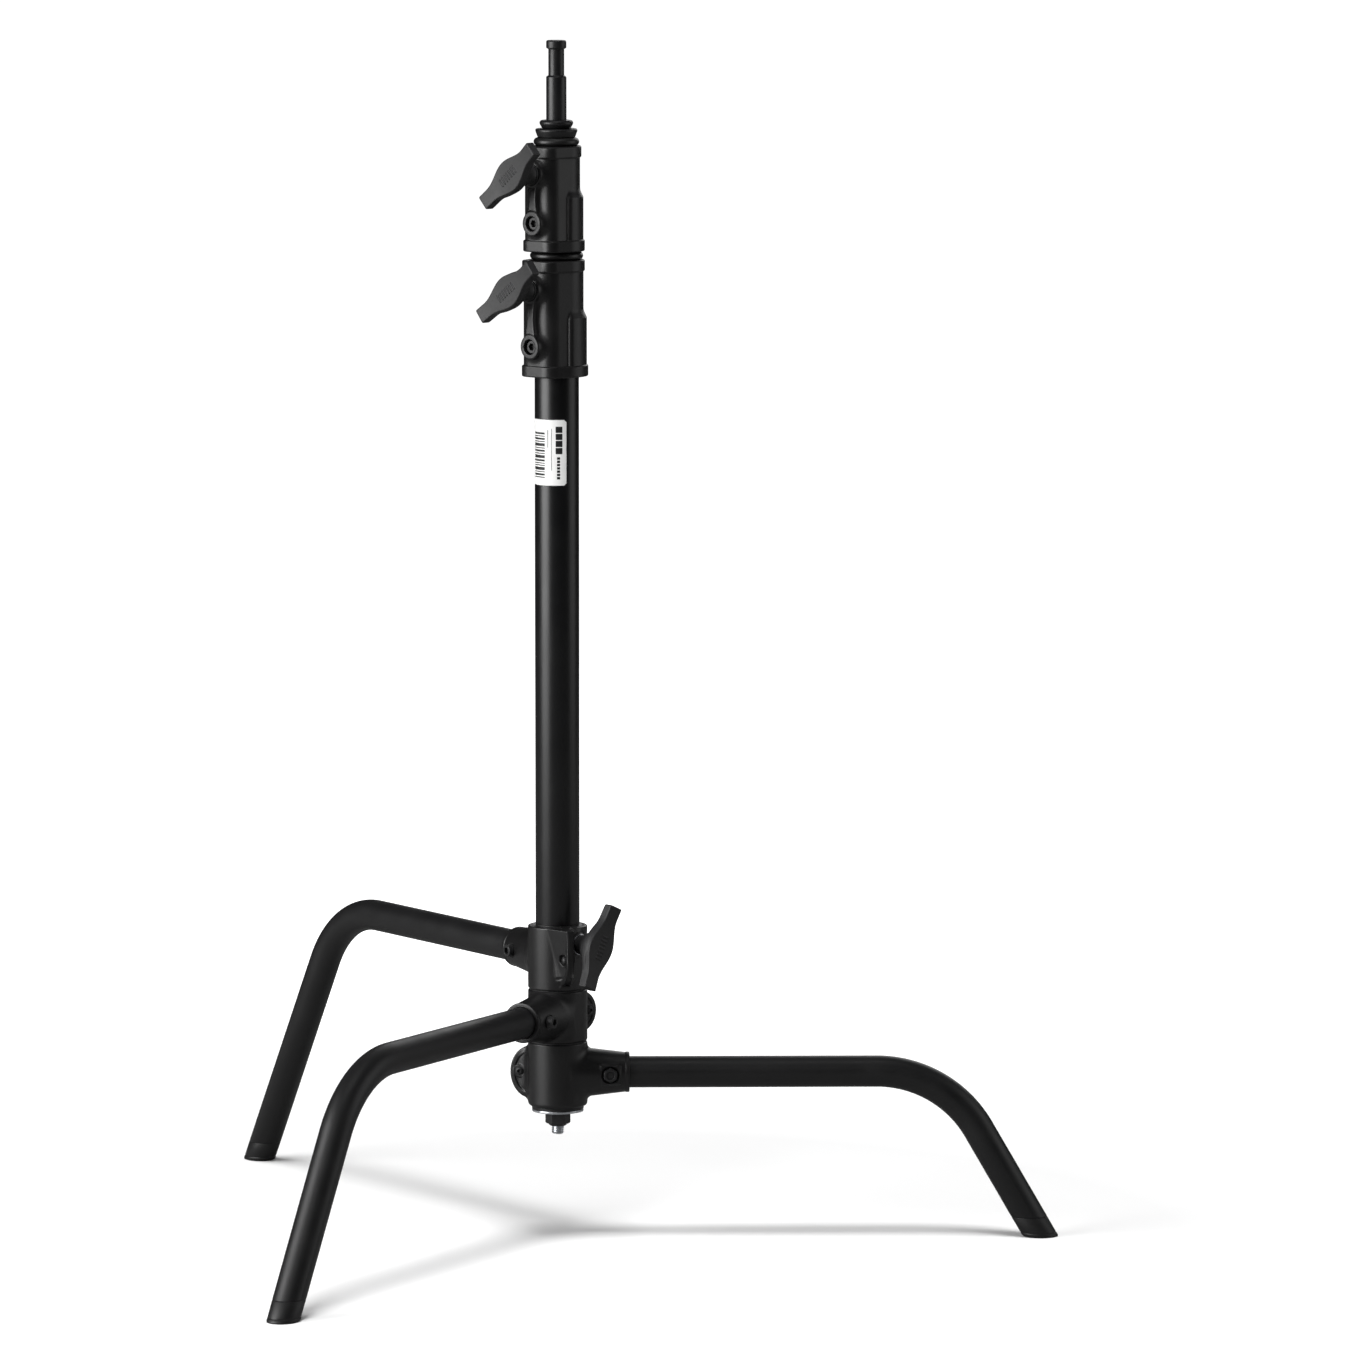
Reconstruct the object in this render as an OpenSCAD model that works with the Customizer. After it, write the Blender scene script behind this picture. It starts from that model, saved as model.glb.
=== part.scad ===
// Low lighting stand with nested swivelling legs, a lift-out column and two locking risers.
// Origin: the column axis at floor level. +Z is up and +X runs close to the lowest leg.

/* [Tubes] */
// Outside diameter of the column tube
column_d = 35; // [33:0.5:36]
// Outside diameter of the middle riser tube
riser_2_d = 30; // [29:0.5:31]
// Outside diameter of the top riser tube
riser_3_d = 25; // [24:0.5:25]
// Outside diameter of the leg tubes
leg_d = 25; // [22:0.5:26]
// Wall of every tube
wall = 1.5; // [1.2:0.1:2]

/* [Heights] */
// Underside of the lowest leg hub
hub_z = 107; // [105:1:112]
// Step between one leg hub and the next
hub_step = 47; // [46:0.5:50]
// Height of the lowest leg tube's axis
low_leg_z = 133.5; // [131:0.5:136]
// Top of the uppermost leg hub, where the column stands
column_z = 252; // [250:1:256]
// Underside of the lower collar
lower_collar_z = 689.5; // [600:0.5:700]

/* [Legs] */
// Bearing of the lowest leg
low_az = 1; // [0:1:5]
// Bearing of the highest leg
top_az = 124.4; // [120:0.1:128]
// Bearing of the middle leg
mid_az = 240.5; // [236:0.1:244]
// Distance from the column to the corner of the lowest leg
corner_r = 308; // [290:1:320]
// How much further out the middle leg's corner is, so that folded legs nest
mid_reach = 3.5; // [3.2:0.1:5]
// How much further out the top leg's corner is
top_reach = 10.5; // [9:0.1:12]
// Radius of the bend's centre line
bend_r = 94; // [70:1:110]
// Slope of the lower part of a leg
slope = 60; // [58:1:62]
// Height of the moulded foot on a leg's end
foot_h = 16; // [12:1:20]

/* [Locks] */
// Bearing of the collars' locking screws
lock_az = 228; // [220:1:235]
// Bearing of the base's locking screw
base_lock_az = 312; // [308:1:316]
// Length of a locking handle
handle_l = 69; // [60:1:72]
// Width of a locking handle at its middle
handle_w = 25; // [22:0.5:26]
// Width of a locking handle at its ends
handle_tip_w = 12.5; // [11:0.5:14]
// Thread diameter of the locking screws
screw_d = 8; // [8:1:10]

/* [Top pin] */
// Diameter of the lamp pin
pin_d = 16; // [15.9:0.05:16]
// Diameter of the pin's neck
neck_d = 12.5; // [12:0.1:13]

/* [Hidden] */
$fn = 96;
eps = 0.01;
// Clearances: a running fit between moving tubes, and the gap between seated pieces
run = 0.08;
seat = 0.05;

lower_collar_h = 92;
upper_collar_h = 83;
bumper_h = 6.4;
upper_collar_z = lower_collar_z + lower_collar_h + bumper_h + 0.3;
pin_base_z = upper_collar_z + upper_collar_h + bumper_h + 0.2;

mid_leg_z = low_leg_z + hub_step;
top_leg_z = mid_leg_z + hub_step;
joint_z1 = 159;
joint_z2 = 201;
disc_h = 0.9;
hub_r = 23.6;

spigot_d = 28.6;
sleeve_d = 34;
flange_d = 39.4;
sleeve_top_z = 221;
sleeve_flange_h = 4;
stud_d = 10;
spigot_z = 126;
plug_top_z = 280;
shoulder_z = column_z + 1.1;
rivet_z = 266;
rivet_az = [60, 120];
riser_2_z = 285;
riser_3_z = 290;
bush_h = 22;
bush_floor = 3;
// Where the risers' tubes stand in their bushes
riser_2_foot_z = riser_2_z + bush_floor + 0.05;
riser_3_foot_z = riser_3_z + bush_floor + 0.05;
riser_2_seat = 47;
column_seat = 55;

socket_end = 57;
socket_start = 12;
socket_root_r = 20.6;
socket_tip_r = 16.8;
bolt_r = 41.7;
ear_r = 31;
ear_w = 6;
ear_turn = 162;
ear_reach = 39;
leg_start = 25;
// Lap of a leg's bend over its straight parts, in degrees, and its extra wall each way
bend_lap = 0.2;
bend_swell = 0.05;

lower_screw_z = 759;
upper_screw_z = 850;
base_screw_z = 239;
lower_bolt_z = 714;
upper_bolt_z = 811;
lower_facet = 25.7;
upper_facet = 24.3;
lower_boss = 32;
upper_boss = 29.4;
facet_hw = 15.8;
boss_r = 9.75;
base_boss = 26.5;
washer_h = 1.5;
washer_r = 8.2;
handle_h = 25;
handle_t = 9;
shoe_h = 4;
shoe_r = 5.5;
lower_tilt = 37.5;
upper_tilt = 41.4;
base_tilt = 66;

shaft_z = pin_base_z + 14;
pin_root_r = pin_d / 2 - 0.2;
pin_neck_z = 926;
pin_head_z = 947.7;
pin_top_z = 954;

// ---- Shared shapes ----

// A hollow tube standing on z, of outside diameter d
module tube(d, z, h, t = wall) {
    translate([0, 0, z])
    difference() {
        cylinder(d = d, h = h);
        translate([0, 0, -1])
        cylinder(d = d - 2 * t, h = h + 2);
    }
}

// A plain ring between an inner and an outer radius
module ring(r_in, r_out, z, h) {
    translate([0, 0, z])
    difference() {
        cylinder(r = r_out, h = h);
        translate([0, 0, -1])
        cylinder(r = r_in, h = h + 2);
    }
}

// A ring with a half-round rim
module round_ring(r_in, r_out, z, h) {
    rim = h / 2;
    translate([0, 0, z])
    rotate_extrude()
    polygon(concat(
        [[r_in, 0]],
        [for (a = [-90 : 15 : 90]) [r_out - rim + rim * cos(a), rim + rim * sin(a)]],
        [[r_in, h]]
    ));
}

// Children turned to a bearing, with +X outward from the column axis at height z
module at_bearing(az, z) {
    rotate([0, 0, az])
    translate([0, 0, z])
    children();
}

// ---- Legs ----

// Distance from a corner at which the bend starts and ends
bend_cut = bend_r * tan(slope / 2);

// Places children at a leg's corner, with +X down the sloped part
module down_slope(corner) {
    translate([corner, 0, 0])
    rotate([0, slope, 0])
    children();
}

// A hollow length of leg tube lying along +X
module leg_tube(l) {
    rotate([0, 90, 0])
    difference() {
        cylinder(d = leg_d, h = l);
        translate([0, 0, -1])
        cylinder(d = leg_d - 2 * wall, h = l + 2);
    }
}

// Length of the sloped part from the corner to the floor, measured on the axis
function slope_length(h) = h / sin(slope);

// Straight part, bend and sloped part of one leg, its axis at height h over the floor
module leg(az, h, corner) {
    straight_l = corner - bend_cut - leg_start;
    at_bearing(az, h)
    difference() {
        union() {
            translate([leg_start, 0, 0])
            leg_tube(straight_l);
            // The bend laps over the straight parts a little, with a slightly heavier wall
            translate([corner - bend_cut, 0, -bend_r])
            rotate([90, 0, 0])
            rotate_extrude(angle = slope + 2 * bend_lap, start = 90 - slope - bend_lap)
            translate([bend_r, 0])
            difference() {
                circle(d = leg_d + 2 * bend_swell);
                circle(d = leg_d - 2 * wall - 2 * bend_swell);
            }
            down_slope(corner)
            translate([bend_cut, 0, 0])
            leg_tube(slope_length(h) - bend_cut);
        }
        // Hole for the cross bolt
        translate([bolt_r, -20, 0])
        rotate([-90, 0, 0])
        cylinder(d = 6.4, h = 40);
        // Level cut where the foot begins
        translate([corner - 50, -50, foot_h - h - 100])
        cube([300, 100, 100]);
    }
}

// Moulded foot: a plug inside the tube and a level-cut end of the tube's own diameter
module foot(az, h, corner) {
    l = slope_length(h);
    plug_l = 30;
    at_bearing(az, h)
    union() {
        difference() {
            down_slope(corner)
            translate([l - 60, 0, 0])
            rotate([0, 90, 0])
            cylinder(d = leg_d, h = 90);
            translate([0, -50, -h - 100])
            cube([600, 100, 100]);
            translate([0, -50, foot_h - h])
            cube([600, 100, 100]);
        }
        difference() {
            down_slope(corner)
            translate([l - plug_l, 0, 0])
            rotate([0, 90, 0])
            cylinder(d = leg_d - 2 * wall - 2 * seat, h = plug_l);
            translate([0, -50, foot_h - h - 101])
            cube([600, 100, 100]);
        }
    }
}

// ---- Leg hubs ----

// Cross bolt that pins a leg tube in its socket; its head is on the bearing's left
module leg_bolt(az, h) {
    head_y = 16.2;
    at_bearing(az, h)
    translate([bolt_r, 0, 0])
    rotate([-90, 0, 0])
    union() {
        translate([0, 0, -19])
        cylinder(d = 6, h = 19 + head_y + 1);
        difference() {
            translate([0, 0, head_y])
            cylinder(d = 10, h = 5.5);
            translate([0, 0, head_y + 2.5])
            cylinder(d = 5.8, h = 4, $fn = 6);
        }
    }
}

module leg_nut(az, h) {
    at_bearing(az, h)
    translate([bolt_r, -15.2, 0])
    rotate([90, 0, 0])
    difference() {
        cylinder(d = 11.5, h = 5, $fn = 6);
        translate([0, 0, -1])
        cylinder(d = 6.1, h = 7);
    }
}

// Small button screw through a hub's ear; side = -1 puts its head on the ear's other face
module ear_screw(az, h, side = 1) {
    at_bearing(az + ear_turn, h)
    translate([ear_r, 0, 0])
    rotate([90 * side, 0, 0])
    difference() {
        union() {
            translate([0, 0, -ear_w / 2 - 1])
            cylinder(d = 4, h = ear_w + 2);
            translate([0, 0, ear_w / 2])
            cylinder(d = 7, h = 2.1);
            translate([0, 0, -ear_w / 2 - 2])
            cylinder(d = 6.4, h = 2);
        }
        translate([0, 0, ear_w / 2 + 0.6])
        cylinder(d = 2.9, h = 3, $fn = 6);
    }
}

// Outline of the half-oval ear, in the X-Z plane
function ear_outline(z0, z1) = let (
    zc = (z0 + z1) / 2,
    half = (z1 - z0) / 2 * 0.82
) concat(
    [[18, zc - half]],
    [for (a = [-80 : 16 : 80]) [22 + (ear_reach - 22) * cos(a), zc + half * sin(a)]],
    [[18, zc + half]]
);

module hub_ear(az, h, z0, z1) {
    difference() {
        rotate([0, 0, az + ear_turn])
        rotate([90, 0, 0])
        translate([0, 0, -ear_w / 2])
        linear_extrude(ear_w)
        polygon(ear_outline(z0, z1));
        at_bearing(az + ear_turn, h)
        translate([ear_r, -20, 0])
        rotate([-90, 0, 0])
        cylinder(d = 4.2, h = 40);
    }
}

// Tapered socket for a leg tube, trimmed to the hub's own height
module socket_solid(az, h, z0, z1) {
    intersection() {
        at_bearing(az, h)
        translate([socket_start, 0, 0])
        rotate([0, 90, 0])
        cylinder(r1 = socket_root_r, r2 = socket_tip_r, h = socket_end - socket_start);
        translate([0, 0, z0])
        cylinder(r = 80, h = z1 - z0);
    }
}

// Bore for the leg tube, hole for its cross bolt, and seats for the bolt head and the nut
module socket_cuts(az, h) {
    at_bearing(az, h) {
        translate([24.5, 0, 0])
        rotate([0, 90, 0])
        cylinder(d = leg_d + 2 * seat, h = 60);
        translate([bolt_r, -30, 0])
        rotate([-90, 0, 0])
        cylinder(d = 6.4, h = 60);
        // Recess round the nut
        translate([bolt_r - 6.5, -25, -6.5])
        cube([13, 9.8, 13]);
        // Seat under the bolt head
        translate([bolt_r, 16.2, 0])
        rotate([-90, 0, 0])
        cylinder(d = 11.5, h = 8);
    }
}

// One leg hub: round body, socket and ear, bored for the pivot sleeve
module leg_hub(az, h, z0, z1) {
    difference() {
        union() {
            translate([0, 0, z0])
            cylinder(r = hub_r, h = z1 - z0);
            socket_solid(az, h, z0, z1);
            hub_ear(az, h, z0, z1);
        }
        translate([0, 0, z0 - 20])
        cylinder(d = sleeve_d + 2 * run, h = z1 - z0 + 40);
        socket_cuts(az, h);
    }
}

module low_hub() {
    color([0.04, 0.04, 0.04])
    union() {
        leg_hub(low_az, low_leg_z, hub_z, joint_z1 - 0.5);
        // Seat for the washer under the body
        ring(sleeve_d / 2 + run, 20.6, hub_z - 2.5, 4);
    }
}

module low_leg() {
    color([0.03, 0.03, 0.03])
    leg(low_az, low_leg_z, corner_r);
}

module low_foot() {
    color([0.05, 0.05, 0.05])
    foot(low_az, low_leg_z, corner_r);
}

module low_leg_bolt() {
    color([0.08, 0.08, 0.08])
    leg_bolt(low_az, low_leg_z);
}

module low_leg_nut() {
    color([0.15, 0.15, 0.15])
    leg_nut(low_az, low_leg_z);
}

module low_ear_screw() {
    color([0.1, 0.1, 0.1])
    ear_screw(low_az, low_leg_z, -1);
}

// Tube on which the hubs turn; its closed bottom takes the stud and its flange holds the top hub
module pivot_sleeve() {
    color([0.55, 0.56, 0.58])
    difference() {
        union() {
            translate([0, 0, hub_z - 2.5])
            cylinder(d = sleeve_d, h = sleeve_top_z - hub_z + 2.5);
            translate([0, 0, sleeve_top_z - sleeve_flange_h])
            cylinder(d = flange_d, h = sleeve_flange_h);
        }
        translate([0, 0, hub_z + 7])
        cylinder(d = spigot_d + 2 * run, h = 200);
        translate([0, 0, hub_z - 10])
        cylinder(d = stud_d + 2 * seat, h = 30);
    }
}

// Clamping stud with its head in the sleeve
module centre_stud() {
    color([0.75, 0.77, 0.8])
    union() {
        translate([0, 0, 84])
        cylinder(d = stud_d, h = hub_z + 8 - 84);
        translate([0, 0, hub_z + 7 + eps])
        cylinder(d = 18, h = 6, $fn = 6);
    }
}

module zinc_washer() {
    color([0.85, 0.86, 0.88])
    ring(stud_d / 2 + 0.3, 20.5, hub_z - 4.5, 1.9);
}

// Self-locking nut: hexagon below the washer, narrowing to its nylon collar
module lock_nut() {
    color([0.05, 0.05, 0.05])
    difference() {
        union() {
            translate([0, 0, 94.5])
            cylinder(d = 20.6, h = 7.9, $fn = 6);
            translate([0, 0, 90.5])
            cylinder(r1 = 6.6, r2 = 8.6, h = 4.1);
        }
        translate([0, 0, 80])
        cylinder(d = stud_d, h = 30);
    }
}

module lower_swivel_disc() {
    color([0.1, 0.1, 0.1])
    ring(sleeve_d / 2 + 0.1, 22.5, joint_z1 - 0.5, disc_h);
}

module mid_hub() {
    color([0.04, 0.04, 0.04])
    leg_hub(mid_az, mid_leg_z, joint_z1 + 0.5, joint_z2 - 0.5);
}

module mid_leg() {
    color([0.03, 0.03, 0.03])
    leg(mid_az, mid_leg_z, corner_r + mid_reach);
}

module mid_foot() {
    color([0.05, 0.05, 0.05])
    foot(mid_az, mid_leg_z, corner_r + mid_reach);
}

module mid_leg_bolt() {
    color([0.08, 0.08, 0.08])
    leg_bolt(mid_az, mid_leg_z);
}

module mid_leg_nut() {
    color([0.15, 0.15, 0.15])
    leg_nut(mid_az, mid_leg_z);
}

module mid_ear_screw() {
    color([0.1, 0.1, 0.1])
    ear_screw(mid_az, mid_leg_z);
}

module upper_swivel_disc() {
    color([0.1, 0.1, 0.1])
    ring(sleeve_d / 2 + 0.1, 22.5, joint_z2 - 0.5, disc_h);
}

// Top hub: also carries the column's receiver and its locking screw
module top_hub() {
    color([0.04, 0.04, 0.04])
    difference() {
        union() {
            leg_hub(top_az, top_leg_z, joint_z2 + 0.5, column_z);
            // Above its screw the ear runs straight up to the hub's rim
            rotate([0, 0, top_az + ear_turn])
            translate([18, -ear_w / 2, top_leg_z + 4])
            cube([ear_reach - 18.5, ear_w, column_z - top_leg_z - 4]);
            // Pad under the locking screw's washer
            at_bearing(base_lock_az, base_screw_z)
            translate([15, 0, 0])
            rotate([0, 90, 0])
            cylinder(r = 10.5, h = base_boss - 15);
        }
        translate([0, 0, joint_z2])
        cylinder(d = sleeve_d + 2 * run, h = 60);
        translate([0, 0, sleeve_top_z - sleeve_flange_h - 0.1])
        cylinder(r = 20, h = 60);
        lock_bore(base_lock_az, base_screw_z);
        shoe_pocket(base_lock_az, base_screw_z, spigot_d / 2);
    }
}

module top_leg() {
    color([0.03, 0.03, 0.03])
    leg(top_az, top_leg_z, corner_r + top_reach);
}

module top_foot() {
    color([0.05, 0.05, 0.05])
    foot(top_az, top_leg_z, corner_r + top_reach);
}

module top_leg_bolt() {
    color([0.08, 0.08, 0.08])
    leg_bolt(top_az, top_leg_z);
}

module top_leg_nut() {
    color([0.15, 0.15, 0.15])
    leg_nut(top_az, top_leg_z);
}

module top_ear_screw() {
    color([0.1, 0.1, 0.1])
    ear_screw(top_az, top_leg_z);
}

// Liner in the top hub that the column's spigot drops into
module column_receiver() {
    color([0.3, 0.3, 0.31])
    difference() {
        ring(spigot_d / 2 + run, 20 - seat, sleeve_top_z + 0.2, column_z - sleeve_top_z - 0.2);
        lock_bore(base_lock_az, base_screw_z);
        shoe_pocket(base_lock_az, base_screw_z, spigot_d / 2);
    }
}

// ---- Locks ----

// Clearance for a locking screw, outward from the column axis
module lock_bore(az, z) {
    at_bearing(az, z)
    rotate([0, 90, 0])
    cylinder(d = screw_d + 2 * run, h = 60);
}

// Round pocket for the pressure shoe, with room for the shoe to back off
module shoe_pocket(az, z, tube_r) {
    at_bearing(az, z)
    rotate([0, 90, 0])
    cylinder(r = shoe_r + run, h = tube_r + shoe_h + 1.8);
}

// Pressure shoe whose face is hollowed to the tube it grips
module lock_shoe(az, z, tube_r) {
    difference() {
        at_bearing(az, z)
        translate([tube_r - 3, 0, 0])
        rotate([0, 90, 0])
        cylinder(r = shoe_r, h = shoe_h + 3);
        translate([0, 0, z - 20])
        cylinder(r = tube_r + 0.05, h = 40);
    }
}

// Screw of a locking handle, from the shoe to inside the handle
module lock_screw(az, z, tube_r, face) {
    screw_start = tube_r + shoe_h + 0.02;
    at_bearing(az, z)
    translate([screw_start, 0, 0])
    rotate([0, 90, 0])
    cylinder(d = screw_d, h = face + washer_h + 14 - screw_start);
}

module lock_washer(az, z, face) {
    at_bearing(az, z)
    translate([face + 0.02, 0, 0])
    rotate([0, 90, 0])
    difference() {
        cylinder(r = washer_r, h = washer_h - 0.04);
        translate([0, 0, -1])
        cylinder(d = screw_d + 2 * run, h = 4);
    }
}

// Half-width of a handle at u from its middle, a smooth diamond with square-cut ends
function handle_hw(u) = handle_tip_w / 2
    + (handle_w - handle_tip_w) / 2 * (0.5 + 0.5 * cos(min(180, abs(u) / (0.36 * handle_l) * 180)));

// Outward lift of a handle's ends
function handle_lift(u) = 2.5 * pow(abs(u) / (handle_l / 2), 2);

// Wing handle: root against the washer at X = 0, length along Y
module handle_shape() {
    us = [for (i = [-8 : 8]) i * handle_l / 16];
    rev = [for (i = [8 : -1 : -8]) i * handle_l / 16];
    difference() {
        union() {
            rotate([0, 90, 0])
            cylinder(r1 = 7.8, r2 = 10.5, h = handle_h - handle_t + 1);
            intersection() {
                rotate([90, 0, 90])
                linear_extrude(60)
                polygon(concat(
                    [for (u = us) [u, handle_hw(u)]],
                    [for (u = rev) [u, -handle_hw(u)]]
                ));
                translate([0, 0, -30])
                linear_extrude(60)
                polygon(concat(
                    [for (u = us) [handle_h + handle_lift(u), u]],
                    [for (u = rev) [handle_h - handle_t + handle_lift(u) * 1.2, u]]
                ));
            }
        }
        // Socket that the screw is moulded into
        translate([-1, 0, 0])
        rotate([0, 90, 0])
        cylinder(d = screw_d, h = 15);
    }
}

module lock_handle(az, z, face, tilt) {
    at_bearing(az, z)
    translate([face + washer_h + 0.02, 0, 0])
    rotate([tilt, 0, 0])
    handle_shape();
}

module base_lock_washer() {
    color([0.8, 0.81, 0.83])
    lock_washer(base_lock_az, base_screw_z, base_boss);
}

module base_handle() {
    color([0.12, 0.12, 0.12])
    lock_handle(base_lock_az, base_screw_z, base_boss, base_tilt);
}

module base_lock_screw() {
    color([0.5, 0.5, 0.52])
    lock_screw(base_lock_az, base_screw_z, spigot_d / 2, base_boss);
}

module base_lock_shoe() {
    color([0.7, 0.55, 0.25])
    lock_shoe(base_lock_az, base_screw_z, spigot_d / 2);
}

module lower_lock_washer() {
    color([0.2, 0.2, 0.2])
    lock_washer(lock_az, lower_screw_z, lower_boss);
}

module lower_handle() {
    color([0.12, 0.12, 0.12])
    lock_handle(lock_az, lower_screw_z, lower_boss, lower_tilt);
}

module lower_lock_screw() {
    color([0.5, 0.5, 0.52])
    lock_screw(lock_az, lower_screw_z, riser_2_d / 2, lower_boss);
}

module lower_lock_shoe() {
    color([0.7, 0.55, 0.25])
    lock_shoe(lock_az, lower_screw_z, riser_2_d / 2);
}

module upper_lock_washer() {
    color([0.2, 0.2, 0.2])
    lock_washer(lock_az, upper_screw_z, upper_boss);
}

module upper_handle() {
    color([0.12, 0.12, 0.12])
    lock_handle(lock_az, upper_screw_z, upper_boss, upper_tilt);
}

module upper_lock_screw() {
    color([0.5, 0.5, 0.52])
    lock_screw(lock_az, upper_screw_z, riser_3_d / 2, upper_boss);
}

module upper_lock_shoe() {
    color([0.7, 0.55, 0.25])
    lock_shoe(lock_az, upper_screw_z, riser_3_d / 2);
}

// ---- Column ----

// Thrust ring between the base and the column's shoulder
module thrust_ring() {
    color([0.1, 0.1, 0.1])
    ring(spigot_d / 2 + run, column_d / 2 - 0.2, column_z + 0.05, 1);
}

module column_tube() {
    color([0.03, 0.03, 0.03])
    difference() {
        tube(column_d, shoulder_z, lower_collar_z + column_seat - shoulder_z);
        spigot_rivet_holes();
        bolt_clearance(lower_bolt_z);
    }
}

// Turned spigot: fixed in the column's foot, standing in the base below it
module column_spigot() {
    color([0.6, 0.6, 0.62])
    difference() {
        union() {
            translate([0, 0, spigot_z])
            cylinder(d = spigot_d, h = shoulder_z - spigot_z + 1);
            translate([0, 0, shoulder_z])
            cylinder(d = column_d - 2 * wall - 2 * seat, h = plug_top_z - shoulder_z);
        }
        translate([0, 0, spigot_z - 1])
        cylinder(d = 20, h = 200);
        spigot_rivet_holes();
    }
}

module spigot_rivet_holes() {
    for (az = rivet_az)
        at_bearing(az, rivet_z)
        rotate([0, 90, 0])
        cylinder(d = 5, h = 30);
}

// Blind rivets that fix the spigot in the tube, on the side away from the locks
module spigot_rivets() {
    color([0.1, 0.1, 0.1])
    for (az = rivet_az)
        at_bearing(az, rivet_z)
        rotate([0, 90, 0])
        union() {
            translate([0, 0, 11])
            cylinder(d = 4.9, h = column_d / 2 - 11.1);
            translate([0, 0, column_d / 2 + 0.05])
            cylinder(r1 = 3.8, r2 = 2.8, h = 0.9);
            translate([0, 0, column_d / 2 - 0.5])
            cylinder(d = 4.9, h = 1);
        }
}

// Hole in a tube's wall for its collar's fixing bolt
module bolt_clearance(z) {
    at_bearing(lock_az, z)
    rotate([0, 90, 0])
    cylinder(d = 6.4, h = 30);
}

// Paper label bent round the tube
module label_sticker() {
    color([0.95, 0.95, 0.94])
    translate([0, 0, 604])
    rotate([0, 0, 174])
    rotate_extrude(angle = 122)
    translate([column_d / 2 + 0.01, 0])
    square([0.2, 52]);
}

// Collar cross-section: a round back and a flat front joined by tangent lines
function collar_outline(r, facet) = let (
    corner = norm([facet, facet_hw]),
    bearing = atan2(facet_hw, facet),
    tangent = bearing + acos(r / corner)
) concat(
    [[facet, -facet_hw], [facet, facet_hw]],
    [for (i = [0 : 36]) let (a = tangent + (360 - 2 * tangent) * i / 36) [r * cos(a), r * sin(a)]]
);

module collar_layer(r, facet, z, h) {
    translate([0, 0, z])
    linear_extrude(h)
    polygon(collar_outline(r, facet));
}

// Dumbbell web between the screw boss and the bolt boss, in the plane of the collar's flat
module collar_web(z_low, z_high, facet, face) {
    waist = 5.5;
    half = (z_high - z_low) / 2;
    side_points = [for (i = [-6 : 6]) let (s = i / 6) [waist + 3.2 * s * s, half * s]];
    translate([0, 0, (z_low + z_high) / 2])
    rotate([90, 0, 90])
    translate([0, 0, facet - 3])
    linear_extrude(face - facet + 3 - 0.8)
    polygon(concat(side_points, [for (i = [12 : -1 : 0]) [-side_points[i][0], side_points[i][1]]]));
}

// Riser collar: body, lips, flat, bosses and web, before its bores
module collar_solid(z, h, r_top, r_low, facet, face, screw_z, bolt_z, step_z) {
    lip = 9.1;
    rotate([0, 0, lock_az])
    union() {
        collar_layer(r_top, facet, z + 1, h - 2);
        collar_layer(r_top + 1.1, facet + 0.7, z + h - lip, lip);
        collar_layer(r_low + 1.1, facet + 0.7, z, lip);
        // Thicker back below the step
        translate([0, 0, z + 1])
        rotate([0, 0, 70])
        rotate_extrude(angle = 220)
        polygon([
            [12, 0], [r_low, 0], [r_low, step_z - z - 1],
            [r_top - 0.2, step_z - z + 5], [12, step_z - z + 5]
        ]);
        translate([12, 0, screw_z])
        rotate([0, 90, 0])
        cylinder(r = boss_r, h = face - 12);
        translate([12, 0, bolt_z])
        rotate([0, 90, 0])
        cylinder(r = boss_r, h = face - 12);
        collar_web(bolt_z, screw_z, facet, face);
    }
}

// Fixing-bolt hole with a counterbore for its head
module bolt_hole(z, face) {
    at_bearing(lock_az, z) {
        rotate([0, 90, 0])
        cylinder(d = 6.4, h = 60);
        translate([face - 5, 0, 0])
        rotate([0, 90, 0])
        cylinder(d = 11.6, h = 20);
    }
}

module fixing_bolt(z, face, tube_r) {
    at_bearing(lock_az, z)
    rotate([0, 90, 0])
    difference() {
        union() {
            translate([0, 0, tube_r - wall])
            cylinder(d = 6, h = face - 5 - tube_r + wall + 1);
            translate([0, 0, face - 5])
            cylinder(d = 10.4, h = 4);
        }
        translate([0, 0, face - 3.4])
        cylinder(d = 5.8, h = 5, $fn = 6);
    }
}

module lower_collar() {
    color([0.05, 0.05, 0.05])
    difference() {
        collar_solid(lower_collar_z, lower_collar_h, 21.2, 23.8, lower_facet, lower_boss,
            lower_screw_z, lower_bolt_z, 736);
        translate([0, 0, lower_collar_z - 1])
        cylinder(d = column_d + 2 * seat, h = column_seat + 1 + seat);
        translate([0, 0, lower_collar_z])
        cylinder(d = riser_2_d + 2 * run, h = 120);
        lock_bore(lock_az, lower_screw_z);
        shoe_pocket(lock_az, lower_screw_z, riser_2_d / 2);
        bolt_hole(lower_bolt_z, lower_boss);
    }
}

module lower_collar_bolt() {
    color([0.1, 0.1, 0.1])
    fixing_bolt(lower_bolt_z, lower_boss, column_d / 2);
}

module lower_bumper() {
    color([0.03, 0.03, 0.03])
    round_ring(riser_2_d / 2 + 0.3, 21, lower_collar_z + lower_collar_h, bumper_h);
}

// ---- Middle riser ----

// Guide bush: a thin sleeve and a floor that the tube's end stands in
module guide_bush(tube_d, outer_d, z) {
    difference() {
        translate([0, 0, z])
        cylinder(d = outer_d - 2 * run, h = bush_h);
        translate([0, 0, z + bush_floor])
        cylinder(d = tube_d + 2 * run, h = bush_h);
        translate([0, 0, z - 1])
        cylinder(d = tube_d - 6, h = bush_h);
    }
}

module riser_2_bush() {
    color([0.85, 0.85, 0.82])
    guide_bush(riser_2_d, column_d - 2 * wall, riser_2_z);
}

module riser_2_tube() {
    color([0.03, 0.03, 0.03])
    difference() {
        tube(riser_2_d, riser_2_foot_z, upper_collar_z + riser_2_seat - riser_2_foot_z);
        bolt_clearance(upper_bolt_z);
    }
}

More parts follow.
